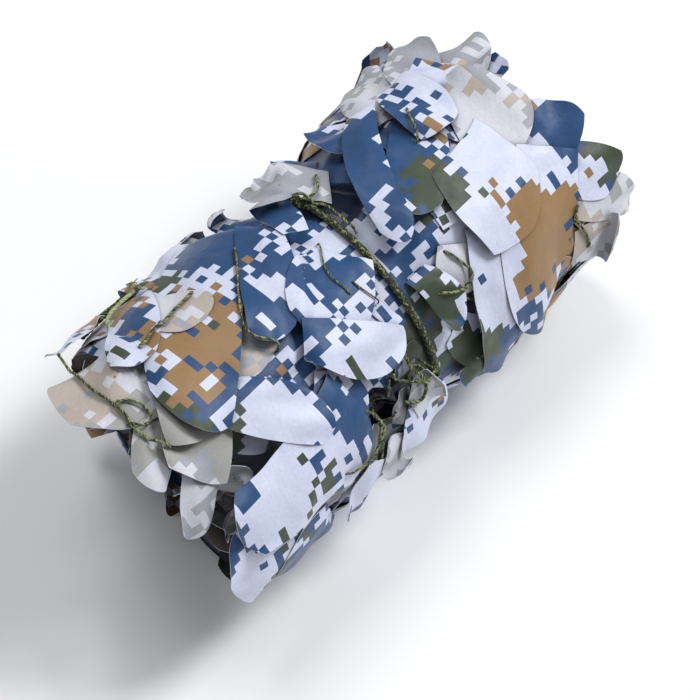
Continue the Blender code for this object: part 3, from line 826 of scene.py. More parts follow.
@dataclass(frozen=True)
class PrintField:
    """A noise field of the print, constant over each square, and where its tone shows."""

    offset: tuple[float, float, float]
    scale: float
    jitter: float
    limit: float

    def build(self, shader: Shader, cell: object) -> object:
        """Return the field's value, about 0.5 on average.

        Args:
            shader: the material being built.
            cell: the square's place in squares.

        Returns:
            The output that carries the value.
        """
        moved = shader.vector("ADD", cell, self.offset)
        soft = shader.noise(moved, self.scale, 2.4, 0.62)
        speck = shader.node("ShaderNodeTexWhiteNoise", noise_dimensions="3D")
        shader.link(moved, speck.inputs["Vector"])
        stray = shader.math("SUBTRACT", speck.outputs[0], 0.5)
        return shader.math("ADD", soft, shader.math("MULTIPLY", stray, self.jitter))


@dataclass(frozen=True)
class CamouflageCloth:
    """Coated woven cloth with a pixel camouflage print in four colours."""

    name: str
    ground_tone: tuple[int, int, int] = (206, 212, 234)
    blue: tuple[int, int, int] = (36, 73, 118)
    tan: tuple[int, int, int] = (147, 116, 78)
    olive: tuple[int, int, int] = (60, 73, 56)
    strength: float = 1.0
    paper: tuple[int, int, int] = (204, 202, 201)
    roughness: float = 0.48
    sheen: float = 0.10
    specular: float = 0.40
    # dim below one darkens the whole cloth: painted shade, for the copies used deep in the roll
    dim: float = 1.0
    # the nook settings paint shade: an ambient occlusion node darkens the colour in creases and
    # between lobes, down to the floor share
    nook: float = 0.014
    nook_shade_power: float = 1.6
    nook_shade_floor: float = 0.38
    blue_field: PrintField = PrintField((11.0, 3.0, 0.0), 0.075, 0.15, 0.515)
    tan_field: PrintField = PrintField((71.0, 12.0, 7.0), 0.070, 0.17, 0.598)
    olive_field: PrintField = PrintField((5.0, 87.0, 19.0), 0.062, 0.12, 0.585)
    speck_field: PrintField = PrintField((31.0, 9.0, 3.0), 0.22, 0.30, 0.745)
    speck_low: float = 0.262

    def tone_sums(self, shader: Shader, cell: object) -> dict[Ink, object]:
        """Return how strongly each tone is wanted, constant over each square.

        Args:
            shader: the material being built.
            cell: the square's place in squares.

        Returns:
            An output for each tone of the table.
        """
        sums = {}
        for tone in TONES:
            arc = math.radians(tone.turn) * UNROLL
            apart = shader.node("ShaderNodeVectorMath", operation="DISTANCE")
            shader.link(cell, apart.inputs[0])
            apart.inputs[1].default_value = (tone.x / 1000.0 / CELL, arc / CELL, 0.5)
            reach = tone.reach / 1000.0 / CELL
            near = shader.ramp(apart.outputs["Value"], 1.35 * reach, 0.55 * reach)
            before = sums.get(tone.ink)
            sums[tone.ink] = near if before is None else shader.math("MAXIMUM", before, near)
        return sums

    @staticmethod
    def leaned(shader: Shader, value: object, wanted: object, gain: float, other: object,
               loss: float) -> object:
        """Raise a field where its tone is wanted and lower it where another is.

        Args:
            shader: the material being built.
            value: the field.
            wanted: how strongly its tone is wanted.
            gain: by how much that raises it.
            other: how strongly other tones are wanted.
            loss: by how much that lowers it.

        Returns:
            The output that carries the leaned field.
        """
        raised = shader.math("ADD", value, shader.math("MULTIPLY", wanted, gain))
        return shader.math("SUBTRACT", raised, shader.math("MULTIPLY", other, loss))

    def print_color(self, shader: Shader, place: object) -> object:
        """Return the colour of the print, one of four in each square.

        Args:
            shader: the material being built.
            place: the place on the flat cloth, metres.

        Returns:
            The output that carries the colour.
        """
        squares = shader.vector("MULTIPLY", place, (1.0 / CELL, 1.0 / CELL, 1.0))
        corner = shader.vector("FLOOR", squares, (0.0, 0.0, 0.0))
        cell = shader.vector("ADD", corner, (0.5, 0.5, 0.5))
        sums = self.tone_sums(shader, cell)
        cool = shader.math("ADD", sums[Ink.BLUE], sums[Ink.PALE])
        blue = self.leaned(shader, self.blue_field.build(shader, cell), sums[Ink.BLUE], 0.11,
                           sums[Ink.PALE], 0.13)
        tan = self.leaned(shader, self.tan_field.build(shader, cell), sums[Ink.TAN], 0.125,
                          cool, 0.07)
        olive = self.leaned(shader, self.olive_field.build(shader, cell), sums[Ink.OLIVE], 0.13,
                            cool, 0.09)
        speck = self.speck_field.build(shader, cell)
        ground = linear(self.ground_tone)
        mixed = ground
        for test, value, limit, color in (
                ("GREATER_THAN", blue, self.blue_field.limit, linear(self.blue)),
                ("GREATER_THAN", olive, self.olive_field.limit, linear(self.olive)),
                ("GREATER_THAN", tan, self.tan_field.limit, linear(self.tan)),
                ("GREATER_THAN", speck, self.speck_field.limit, ground),
                ("LESS_THAN", speck, self.speck_low, linear(self.blue))):
            mixed = shader.mix(shader.math(test, value, limit), mixed, color)
        if self.strength < 1.0:
            mixed = shader.mix(self.strength, linear(self.paper), mixed)
        return mixed

    def shade(self, shader: Shader, place: object, mottle: object) -> object:
        """Return the brightness: fibres, faint clouds that also paint light and shade on folds,
        the painted shade of dim, and painted shade in nooks.

        Args:
            shader: the material being built.
            place: the place on the flat cloth, metres.
            mottle: the fine mottling, from 0 to 1.

        Returns:
            The output that carries the brightness.
        """
        # faint clouds of brightness: partly the cloth's own uneven tone, partly painted light and
        # shade standing in for broad folds
        cloudy = shader.ramp(shader.noise(place, 17.0, 3.0, 0.55), 0.30, 0.70)
        uneven = shader.math("ADD", shader.math("MULTIPLY", mottle, 0.13),
                             shader.math("MULTIPLY", cloudy, 0.18))
        # dim scales the brightness down: painted shade in the darkened copies of the cloth
        lit = shader.math("MULTIPLY", shader.math("ADD", uneven, 0.86), self.dim)
        # painted shade: ambient occlusion darkens the colour in creases, seams and under the
        # lobes
        nook = shader.node("ShaderNodeAmbientOcclusion", samples=6)
        nook.inputs["Distance"].default_value = self.nook
        open_share = shader.math("POWER", nook.outputs["AO"], self.nook_shade_power)
        open_share = shader.math("MULTIPLY", open_share, 1.0 - self.nook_shade_floor)
        return shader.math("MULTIPLY", lit, shader.math("ADD", open_share, self.nook_shade_floor))

    def relief(self, shader: Shader, place: object, mottle: object) -> object:
        """Return the normal: crumples, small dents and the weave.

        Args:
            shader: the material being built.
            place: the place on the flat cloth, metres.
            mottle: the fine mottling, from 0 to 1.

        Returns:
            The output that carries the normal.
        """
        normal = shader.bump(shader.noise(place, 21.0, 2.0, 0.45), 0.80, 0.0085)
        normal = shader.bump(shader.noise(place, 70.0, 3.0, 0.55), 0.65, 0.0014, normal)
        threads = []
        for axis in ("X", "Y"):
            wave = shader.node("ShaderNodeTexWave", wave_type="BANDS", bands_direction=axis)
            shader.link(place, wave.inputs["Vector"])
            wave.inputs["Scale"].default_value = 320.0
            wave.inputs["Distortion"].default_value = 0.6
            threads.append(wave.outputs[1])
        weave = shader.math("ADD", shader.math("MULTIPLY", threads[0], threads[1]), mottle)
        return shader.bump(weave, 0.30, 0.00012, normal)

    def build(self) -> bpy.types.Material:
        """Make the material.

        Returns:
            The node material, which takes its places from the UV map named cloth.
        """
        shader = Shader(self.name)
        place = shader.node("ShaderNodeUVMap", uv_map="cloth").outputs[0]
        mottle = shader.ramp(shader.noise(place, 420.0, 5.0, 0.62), 0.30, 0.70)
        tint = shader.node("ShaderNodeHueSaturation")
        shader.link(self.print_color(shader, place), tint.inputs["Color"])
        shader.link(self.shade(shader, place, mottle), tint.inputs["Value"])
        grain = shader.math("MULTIPLY", mottle, 0.12)
        shader.dress(tint.outputs[0], shader.math("ADD", grain, self.roughness - 0.06),
                     self.relief(shader, place, mottle), self.sheen)
        shader.surface.inputs["Sheen Roughness"].default_value = 0.45
        shader.surface.inputs["Specular IOR Level"].default_value = self.specular
        return shader.material


@dataclass(frozen=True)
class CordBraid:
    """Braided cord: dark olive strands with yellow-green flecks."""

    name: str
    dark: tuple[int, int, int] = (24, 31, 20)
    fleck: tuple[int, int, int] = (138, 150, 88)
    share: float = 0.24
    dust: tuple[int, int, int] = (90, 96, 60)
    dust_share: float = 0.16

    def build(self) -> bpy.types.Material:
        """Make the material from the UV map named cord: length and way round, metres.

        Returns:
            The node material.
        """
        shader = Shader(self.name)
        place = shader.node("ShaderNodeUVMap", uv_map="cord").outputs[0]
        fibre = shader.noise(shader.vector("MULTIPLY", place, (900.0, 2600.0, 1.0)), 1.0, 4.0)
        picks = shader.vector("MULTIPLY", place, (420.0, 700.0, 1.0))
        cell = shader.vector("FLOOR", picks, (0.0, 0.0, 0.0))
        speck = shader.node("ShaderNodeTexWhiteNoise", noise_dimensions="2D")
        shader.link(cell, speck.inputs["Vector"])
        light = shader.math("LESS_THAN", speck.outputs[0], self.share)
        color = shader.mix(light, linear(self.dark), linear(self.fleck))
        dusty = shader.mix(shader.math("MULTIPLY", fibre, self.dust_share), color,
                           linear(self.dust))
        rough = shader.math("ADD", shader.math("MULTIPLY", fibre, 0.2), 0.58)
        shader.dress(dusty, rough, shader.bump(fibre, 0.6, 0.00025), 0.12)
        return shader.material


@dataclass(frozen=True)
class PlainFinish:
    """A matt finish with a little mottling, for cut edges and the floor."""

    name: str
    color: tuple[int, int, int]
    roughness: float = 0.7
    mottle: float = 0.06

    def build(self) -> bpy.types.Material:
        """Make the material.

        Returns:
            The node material.
        """
        shader = Shader(self.name)
        place = shader.node("ShaderNodeTexCoord").outputs["Object"]
        spots = shader.noise(place, 300.0, 3.0)
        base = linear(self.color)
        darker = tuple(c * (1.0 - 2.0 * self.mottle) for c in base[:3]) + (1.0,)
        shader.link(shader.mix(spots, darker, base), shader.surface.inputs["Base Color"])
        shader.surface.inputs["Roughness"].default_value = self.roughness
        return shader.material


@dataclass
class Finishes:
    """All the finishes of the roll, made once."""

    print_face: bpy.types.Material = field(default_factory=CamouflageCloth("printed_face").build)
    back_face: bpy.types.Material = field(default_factory=CamouflageCloth(
        "pale_reverse", strength=0.42, roughness=0.62, sheen=0.06).build)
    # the next three finishes are darkened copies of the cloth (dim below one): painted shade for
    # the hollow ends, the wound turns and the sheets deep in the roll
    inner_painted_shade: bpy.types.Material = field(default_factory=CamouflageCloth(
        "inner_turns_painted_shade", dim=0.22, sheen=0.03).build)
    turn_painted_shade: bpy.types.Material = field(default_factory=CamouflageCloth(
        "painted_shade_turns", dim=0.46, sheen=0.03).build)
    turn_back_painted_shade: bpy.types.Material = field(default_factory=CamouflageCloth(
        "painted_shade_turns_reverse", strength=0.42, dim=0.42, sheen=0.03).build)
    cut_edge: bpy.types.Material = field(default_factory=PlainFinish(
        "cut_edge", (226, 228, 232), 0.6).build)
    tie: bpy.types.Material = field(default_factory=CordBraid("tie_braid").build)
    net_cord: bpy.types.Material = field(default_factory=CordBraid(
        "net_cord_braid", (44, 50, 28), (150, 160, 100), 0.42).build)
    pale_cord: bpy.types.Material = field(default_factory=CordBraid(
        "seam_tape", (128, 140, 92), (186, 194, 148), 0.5).build)

    def sides(self, face: Face, deep: bool = False) -> list[bpy.types.Material]:
        """Return the outer, inner and rim materials of a sheet of cloth.

        Args:
            face: the side that is turned outwards.
            deep: whether the sheet lies deep in the roll, where little light comes; it then takes
                the darkened copies of the cloth, which are painted shade.

        Returns:
            The three materials in the order of the sheet's slots.
        """
        outer, inner = ((self.turn_painted_shade, self.turn_back_painted_shade) if deep
                        else (self.print_face, self.back_face))
        if face is Face.REVERSE:
            outer, inner = inner, outer
        return [outer, inner, self.cut_edge]


def mesh_object(name: str, points: Array, faces: list[tuple[int, ...]],
                uv: Array, uv_name: str, materials: list[bpy.types.Material],
                face_slots: Array, sharp: float = 50.0) -> bpy.types.Object:
    """Make a mesh object with one UV map and a material for each face.

    Args:
        name: the object's name.
        points: corner places, one row each.
        faces: corner numbers of each face.
        uv: a place on the flat cloth for each corner.
        uv_name: the UV map's name.
        materials: the object's material slots.
        face_slots: the slot of each face.
        sharp: edges bent by more than this many degrees stay sharp.

    Returns:
        The new object, linked to the scene.
    """
    mesh = bpy.data.meshes.new(name)
    mesh.from_pydata(points.tolist(), [], faces)
    for material in materials:
        mesh.materials.append(material)
    mesh.polygons.foreach_set("material_index", face_slots.astype(np.int32))
    mesh.polygons.foreach_set("use_smooth", np.ones(len(faces), dtype=bool))
    layer = mesh.uv_layers.new(name=uv_name)
    corners = np.zeros(len(mesh.loops), dtype=np.int32)
    mesh.loops.foreach_get("vertex_index", corners)
    layer.data.foreach_set("uv", uv[corners].astype(np.float32).ravel())
    mesh.set_sharp_from_angle(angle=math.radians(sharp))
    mesh.update()
    item = bpy.data.objects.new(name, mesh)
    bpy.context.scene.collection.objects.link(item)
    return item


def sheet_mesh(middle: Array, normal: Array, thickness: float, uv: Array
               ) -> tuple[Array, list[tuple[int, ...]], Array, Array]:
    """Turn a grid of places into a closed thin sheet.

    Args:
        middle: grid of places on the middle of the cloth.
        normal: grid of outward directions.
        thickness: the cloth's thickness.
        uv: grid of places on the flat cloth.

    Returns:
        The corners, the faces, the corners' UV and the face slots: 0 outer, 1 inner, 2 rim.
    """
    high, wide = middle.shape[:2]
    count = high * wide
    outer = (middle + normal * thickness * 0.5).reshape(-1, 3)
    inner = (middle - normal * thickness * 0.5).reshape(-1, 3)
    points = np.concatenate((outer, inner))
    index = np.arange(count).reshape(high, wide)
    a, b = index[:-1, :-1].ravel(), index[:-1, 1:].ravel()
    c, d = index[1:, 1:].ravel(), index[1:, :-1].ravel()
    across = np.cross(outer[d[0]] - outer[a[0]], outer[b[0]] - outer[a[0]])
    forward = float(across @ normal.reshape(-1, 3)[a[0]]) > 0.0
    outer_faces = np.stack((a, d, c, b), 1) if forward else np.stack((a, b, c, d), 1)
    inner_faces = outer_faces[:, ::-1] + count
    ring = np.concatenate((index[0, :-1], index[:-1, -1], index[-1, :0:-1], index[:0:-1, 0]))
    following = np.roll(ring, -1)
    rim = np.stack((ring, following, following + count, ring + count), 1)
    if not forward:
        rim = rim[:, ::-1]
    faces = np.concatenate((outer_faces, inner_faces, rim))
    slots = np.concatenate((np.zeros(len(outer_faces)), np.ones(len(inner_faces)),
                            np.full(len(rim), 2.0)))
    flat = np.concatenate((uv.reshape(-1, 2), uv.reshape(-1, 2)))
    return points, [tuple(int(i) for i in face) for face in faces], flat, slots


def grid_normals(middle: Array, outward: Array) -> Array:
    """Return unit normals of a grid of places, turned to the outward side as a whole.

    Args:
        middle: grid of places.
        outward: grid of outward directions.

    Returns:
        The normals.
    """
    normal = np.cross(np.gradient(middle, axis=0), np.gradient(middle, axis=1))
    normal /= np.maximum(np.linalg.norm(normal, axis=2, keepdims=True), 1e-9)
    if float(np.mean(np.sum(normal * outward, axis=2))) < 0.0:
        normal = -normal
    return normal


def sheet_object(name: str, middle: Array, outward: Array, thickness: float,
                 uv: Array, materials: list[bpy.types.Material]) -> bpy.types.Object:
    """Make a thin sheet of cloth that rides on the frame.

    Args:
        name: the piece's name.
        middle: grid of places on the middle of the cloth.
        outward: grid of directions to the side that is turned outwards.
        thickness: the cloth's thickness.
        uv: grid of places on the flat cloth.
        materials: outer, inner and rim materials.

    Returns:
        The sheet's object.
    """
    normal = grid_normals(middle, outward)
    points, faces, flat, slots = sheet_mesh(middle, normal, thickness, uv)
    points[:, 2] = np.maximum(points[:, 2], LOWEST)
    item = mesh_object(name, points, faces, flat, "cloth", materials, slots)
    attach(item, "root")
    return item


def eased(radius: Array, x: Array, arc: Array, slope: float,
          passes: int) -> Array:
    """Spread heights so that the cloth rises over an edge no steeper than a slope.

    Args:
        radius: heights over a grid.
        x: places along the roll.
        arc: places round the roll as arc lengths.
        slope: greatest rise to a step.
        passes: how many neighbours the spreading reaches.

    Returns:
        The eased heights, nowhere lower than before.
    """
    out = radius.copy()
    moves = ((1, 0), (0, 1), (1, 1), (1, -1))
    for _ in range(passes):
        for du, dv in moves:
            a = (slice(0, -du or None), slice(max(-dv, 0), -dv if dv > 0 else None))
            b = (slice(du, None), slice(max(dv, 0), dv if dv < 0 else None))
            gap = slope * np.hypot(x[a] - x[b], arc[a] - arc[b])
            low, high = out[a].copy(), out[b].copy()
            out[a] = np.maximum(low, high - gap)
            out[b] = np.maximum(high, low - gap)
    return out


def smoothed(values: Array, floor: Array, passes: int) -> Array:
    """Soften heights over a grid without letting them sink below a floor.

    Args:
        values: the heights.
        floor: what they stay above.
        passes: how often they are softened.

    Returns:
        The softened heights.
    """
    for _ in range(passes):
        soft = values.copy()
        soft[1:-1] = 0.25 * values[:-2] + 0.5 * values[1:-1] + 0.25 * values[2:]
        middle = 0.5 * soft[:, 1:-1] + 0.25 * (soft[:, :-2] + soft[:, 2:])
        soft[:, 1:-1] = middle
        values = np.maximum(soft, floor)
    return values


@dataclass
class Lobe:
    """One loose lobe of the cut cloth, laid on what lies beneath it."""

    name: str
    root_x: float
    root_turn: float
    tip_x: float
    tip_turn: float
    tip_radius: float
    width: float
    bow: float
    lean: float
    roundness: float
    curl: float
    face: Face
    node: str = ""
    # deep lobes take the darkened finishes: painted shade
    deep: bool = False
    grain: float = 0.0025
    thickness: float = 0.00045
    gap: float = 0.0002
    wave: float = 0.0032
    slope: float = 0.50
    cup: float = 0.0022
    edge_ripple: float = 0.0010
    edge_lift: float = 0.0016
    ripple_pitch: float = 0.017
    creases: tuple[float, ...] = (0.0022, -0.0016, 0.0014)
    print_turn: float = 0.0
    print_move: tuple[float, float] = (0.0, 0.0)

    @classmethod
    def of_row(cls, values: tuple, **more: object) -> "Lobe":
        """Return the lobe that a row of a table states, with any further fields.

        Args:
            values: the row.
            more: further fields.

        Returns:
            The lobe.
        """
        row = dict(zip(LOBE_COLUMNS, values))
        row["face"] = Face(row["face"])
        return cls(**row, **more)

    def plan(self) -> dict[str, Array]:
        """Return the grid of the flat lobe.

        Returns:
            Arrays x, turn, along and side, and the numbers length and wide.
        """
        start = np.array((self.root_x / 1000.0, math.radians(self.root_turn) * UNROLL))
        stop = np.array((self.tip_x / 1000.0, math.radians(self.tip_turn) * UNROLL))
        length = float(np.hypot(*(stop - start)))
        ahead = (stop - start) / length
        across = np.array((-ahead[1], ahead[0]))
        wide = self.width / 1000.0
        steps_long = max(8, int(round(length / self.grain)))
        steps_wide = max(6, int(round(wide / self.grain)))
        share, side = np.meshgrid(np.linspace(0.0, 1.0, steps_long + 1),
                                  np.linspace(-1.0, 1.0, steps_wide + 1), indexing="ij")
        past = np.clip(2.0 * share - 1.0, 0.0, 1.0)
        round_tip = 0.45 + 0.55 * self.roundness
        tip_half = 0.5 + 0.5 * past * np.sqrt(1.0 - 0.5 * round_tip * side ** 2)
        along = np.where(past > 0.0, tip_half, share)
        swell = np.where(past > 0.0, np.sqrt(1.0 - 0.5 * round_tip * past ** 2),
                         0.70 + 0.30 * np.sin(math.pi * share))
        bow = self.bow / 1000.0 * 4.0 * along * (1.0 - along)
        bow = bow + self.lean / 1000.0 * (along ** 3 - along)
        along = along + self.lean / 1000.0 / length * side * share ** 2 * 0.7
        offset = bow + side * 0.5 * wide * swell
        x = start[0] + ahead[0] * along * length + across[0] * offset
        arc = start[1] + ahead[1] * along * length + across[1] * offset
        return {"x": x, "turn": arc / UNROLL, "along": along, "side": side,
                "share": share, "length": length, "wide": wide}

    def heights(self, plan: dict[str, Array], ground: Ground) -> Array:
        """Return the distance of the lobe's middle from the axis over its grid.

        Args:
            plan: the grid of the flat lobe.
            ground: what is laid so far.

        Returns:
            The distances, nowhere below what the lobe lies on.
        """
        x, turn, along, side = (plan[key] for key in ("x", "turn", "along", "side"))
        arc = turn * UNROLL
        floor = ground.over(x, turn, ground.step) + self.gap + 0.5 * self.thickness
        floor = np.maximum(floor, 0.02)
        floor = eased(floor, x, arc, self.slope, 10)
        root = float(np.max(floor[0]))
        aim = root + (self.tip_radius / 1000.0 - root) * np.clip(along, 0.0, 1.2) ** 1.5
        aim = aim - self.cup * side ** 2 * (0.4 + along)
        aim = aim + self.curl / 1000.0 * (np.clip(along - 0.5, 0.0, 1.0) / 0.5) ** 2
        swing = math.pi * (2.2 * along + 1.1 * side) + self.root_turn
        aim = aim + self.wave * along * np.sin(swing)
        edge = np.abs(side) ** 3 * (0.3 + along)
        ripple = plan["length"] * along / self.ripple_pitch * math.pi
        ripple = np.sin(ripple + 3.0 * side + self.tip_turn)
        aim = aim + self.edge_ripple * edge * ripple + self.edge_lift * np.abs(side) ** 4 * along
        for number, height in enumerate(self.creases):
            crease = np.sin(self.tip_x * 0.7 + 2.3 * number) * 0.62
            line = np.abs(side - crease - 0.35 * np.sin(3.0 * along + self.tip_turn + number))
            aim = aim + height * np.exp(-line / 0.15) * np.clip(along * 3.0, 0.0, 1.0)
        aim[0] = floor[0]
        radius = np.maximum(aim, floor)
        radius = smoothed(radius, floor, 6)
        return eased(radius, x, arc, self.slope, 6)

    def rolled_up(self, middle: Array, normal: Array) -> Array:
        """Roll the tip over on itself where the table of roll-ups says so.

        Args:
            middle: grid of places on the middle of the cloth.
            normal: grid of outward directions.

        Returns:
            The places with the tip rolled up.
        """
        if self.name not in ROLL_UPS:
            return middle
        start, radius = ROLL_UPS[self.name]
        radius /= 1000.0
        row = int(round(start * (middle.shape[0] - 1)))
        base = middle[row]
        ahead = middle[row] - middle[row - 1]
        ahead /= np.linalg.norm(ahead, axis=1, keepdims=True)
        steps = np.linalg.norm(np.diff(middle[row:], axis=0), axis=2)
        run = np.cumsum(steps, axis=0)
        angle = np.minimum(run / radius, 4.2)[..., None]
        out = middle.copy()
        tight = radius * (1.0 - 0.05 * angle)
        out[row + 1:] = (base + ahead * tight * np.sin(angle)
                         + normal[row] * tight * (1.0 - np.cos(angle)))
        return out

    def flat_places(self, x: Array, turn: Array) -> Array:
        """Return where each place of the lobe lies in the print.

        Args:
            x: places along the roll.
            turn: angles round it.

        Returns:
            The places on the flat cloth, turned and moved with the lobe's own print.
        """
        flat = np.stack((x, turn * UNROLL), -1)
        centre = flat.reshape(-1, 2).mean(axis=0)
        spin = math.radians(self.print_turn)
        from_centre = flat - centre
        one, two = from_centre[..., 0], from_centre[..., 1]
        turned = np.stack((one * math.cos(spin) - two * math.sin(spin),
                           one * math.sin(spin) + two * math.cos(spin)), -1)
        return turned + centre + np.array(self.print_move)

    def build(self, shape: RollShape, ground: Ground, finishes: Finishes) -> bpy.types.Object:
        """Args:
            shape: the roll that it lies on.
            ground: what is laid so far; the lobe is added to it.
            finishes: the materials.

        Returns:
            The lobe's object.
        """
        plan = self.plan()
        x, turn = plan["x"], plan["turn"]
        radius = self.heights(plan, ground)
        middle = shape.place(x, turn, radius)
        outward = shape.outward(turn)
        middle = self.rolled_up(middle, grid_normals(middle, outward))
        ground.add(x, turn, radius + 0.5 * self.thickness)
        item = sheet_object("cloth_" + self.name, middle, outward, self.thickness,
                            self.flat_places(x, turn), finishes.sides(self.face, self.deep))
        if self.node:
            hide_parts(self.node)
        return item


@dataclass
class WoundNet:
    """The wound cloth itself: its outer turn, the hollow ends and their turns."""

    shape: RollShape
    around: int = 288
    rows: int = 200
    turns: float = 6.8
    turn_steps: int = 620
    strip_width: float = 0.022
    strip_thickness: float = 0.0006
    leaf_thickness: float = 0.00045
    core_gap: float = 0.004
    rim_lip: float = 0.006
    rim_round: float = 0.012
    lean_spread: float = 0.055
    step_run: float = 0.090
    fine_fold: float = 0.0006
    fine_fade: float = 0.010
    hollow_from: float = -0.006
    core_from: float = 0.02
    core_to: float = 0.985
    core_rows: int = 26
    first_share: float = 0.10
    share_reach: float = 0.835
    # how unevenly the turns lie: waves to a radian, phase, and share of the radius
    uneven: tuple[tuple[float, float, float], ...] = (
        (2.0, 1.0, 0.034), (3.0, 0.4, 0.024), (5.0, 0.0, 0.016), (0.37, 0.0, 0.014))

    def end_inset(self, share: Array, depth: float) -> Array:
        """Return how deep the core, dark with painted shade, lies behind the rim at a share of
        the radius.
        """
        behind = self.rim_lip * np.clip((1.0 - share) / 0.12, 0.0, 1.0)
        return depth * (1.0 - share ** self.shape.dish) + behind

    def end_x(self, near: bool, inside: Array, share: Array, turn: Array
              ) -> Array:
        """Return where along the roll a place lies that is so far inside an end.

        Args:
            near: whether it is the open mouth.
            inside: how far it lies behind the rim.
            share: its share of the radius.
            turn: its angle round the roll.

        Returns:
            The place along the roll.
        """
        if near:
            return self.shape.near_end + inside + self.shape.step_back(turn) * share
        return self.shape.far_end - inside

    def profile(self) -> list[tuple[str, float]]:
        """Return the rows of the loft from one end's middle to the other's.

        Returns:
            The kind and the value of each row.
        """
        shares = np.linspace(self.core_from, self.core_to, self.core_rows)
        start = self.shape.near_end + self.shape.corner
        stop = self.shape.far_end - self.shape.corner
        rows = [("near", float(s)) for s in shares]
        side = np.linspace(start - self.rim_lip, stop + self.rim_lip, self.rows)
        rows += [("side", float(x)) for x in side]
        rows += [("far", float(s)) for s in shares[::-1]]
        return rows

    def row(self, kind: str, value: float, turn: Array) -> tuple[Array, Array]:
        """Return one row of the loft.

        Args:
            kind: near or far for a row of that end, side for one of the outer turn.
            value: share of the radius in an end, place along the roll on the side.
            turn: the angles of the row's points.

        Returns:
            The places along the roll and the distances from its axis.
        """
        shape = self.shape
        if kind == "side":
            reach = math.exp(-(((value - shape.waist_x) / self.lean_spread) ** 2))
            back = (shape.mouth_step_start - value) / self.step_run
            x = value + shape.lean(turn) * reach
            x = x + shape.step_back(turn) * float(np.clip(back, 0.0, 1.0))
            where = np.clip(value, shape.near_end + shape.corner, shape.far_end - shape.corner)
            radius = shape.side_radius(np.full(turn.shape, where), turn)
            past = abs(value - where) / self.rim_lip
            radius = radius * (1.0 - self.rim_round * past * past)
            fine = np.sin(31.0 * turn + 60.0 * value) * np.sin(90.0 * value + 5.0 * turn)
            away = 1.0 - math.exp(-(((value - shape.waist_x) / self.fine_fade) ** 2))
            return x, radius + self.fine_fold * fine * away
        near = kind == "near"
        share = np.full(turn.shape, value)
        inset = self.end_inset(share, shape.depth(near)) + self.core_gap
        return self.end_x(near, inset, share, turn), shape.rim(near, turn) * value

    def build_skin(self, ground: Ground, finishes: Finishes) -> bpy.types.Object:
        """Loft the outer turn and the hollow ends, darkened with painted shade.

        Args:
            ground: the grid that the lobes are laid on; the roll is added to it.
            finishes: the materials.

        Returns:
            The roll's object.
        """
        turn = np.linspace(0.0, TURN, self.around, endpoint=False)
        rows = self.profile()
        xs, radii = zip(*(self.row(kind, value, turn) for kind, value in rows))
        x, radius = np.array(xs), np.array(radii)
        turns = np.broadcast_to(turn, x.shape)
        points = self.shape.place(x, turns, radius)
        points[..., 2] = np.where(points[..., 2] < 0.0009, 0.0, points[..., 2])
        side = np.array([kind == "side" for kind, value in rows])
        closed = np.concatenate((turns[side], np.full((side.sum(), 1), TURN)), 1)
        wrap = np.concatenate((x[side], x[side][:, :1]), 1)
        high = np.concatenate((radius[side], radius[side][:, :1]), 1)
        ground.add(wrap, closed, high)
        count = self.around
        index = np.arange(x.size).reshape(x.shape)
        following = np.roll(index, -1, axis=1)
        quads = np.stack((index[:-1], following[:-1], following[1:], index[1:]), -1)
        faces = [tuple(int(i) for i in face) for face in quads.reshape(-1, 4)]
        poles = [points[0].mean(axis=0), points[-1].mean(axis=0)]
        all_points = np.concatenate((points.reshape(-1, 3), np.array(poles)))
        last = index[-1]
        for step in range(count):
            after = (step + 1) % count
            faces.append((x.size, int(index[0, after]), int(index[0, step])))
            faces.append((x.size + 1, int(last[step]), int(last[after])))
        unrolled = np.where(turns > math.pi, turns - TURN, turns) * UNROLL
        uv = np.stack((x, unrolled), -1)
        uv[~side] = points[~side][:, :, 1:]
        uv = np.concatenate((uv.reshape(-1, 2), np.zeros((2, 2))))
        # the sunk hollows and both ends take the inner finish: painted shade
        sunk = self.shape.ply_height(x, turns) < self.hollow_from
        deep = (sunk | ~side[:, None])[:-1] | (~side[1:])[:, None]
        slots = np.concatenate((np.where(deep, 1, 0).ravel(), np.ones(2 * count)))
        item = mesh_object("net_roll", all_points, faces, uv, "cloth",
                           [finishes.print_face, finishes.inner_painted_shade], slots, 80.0)
        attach(item, "root")
        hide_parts("rolled_net")
        return item

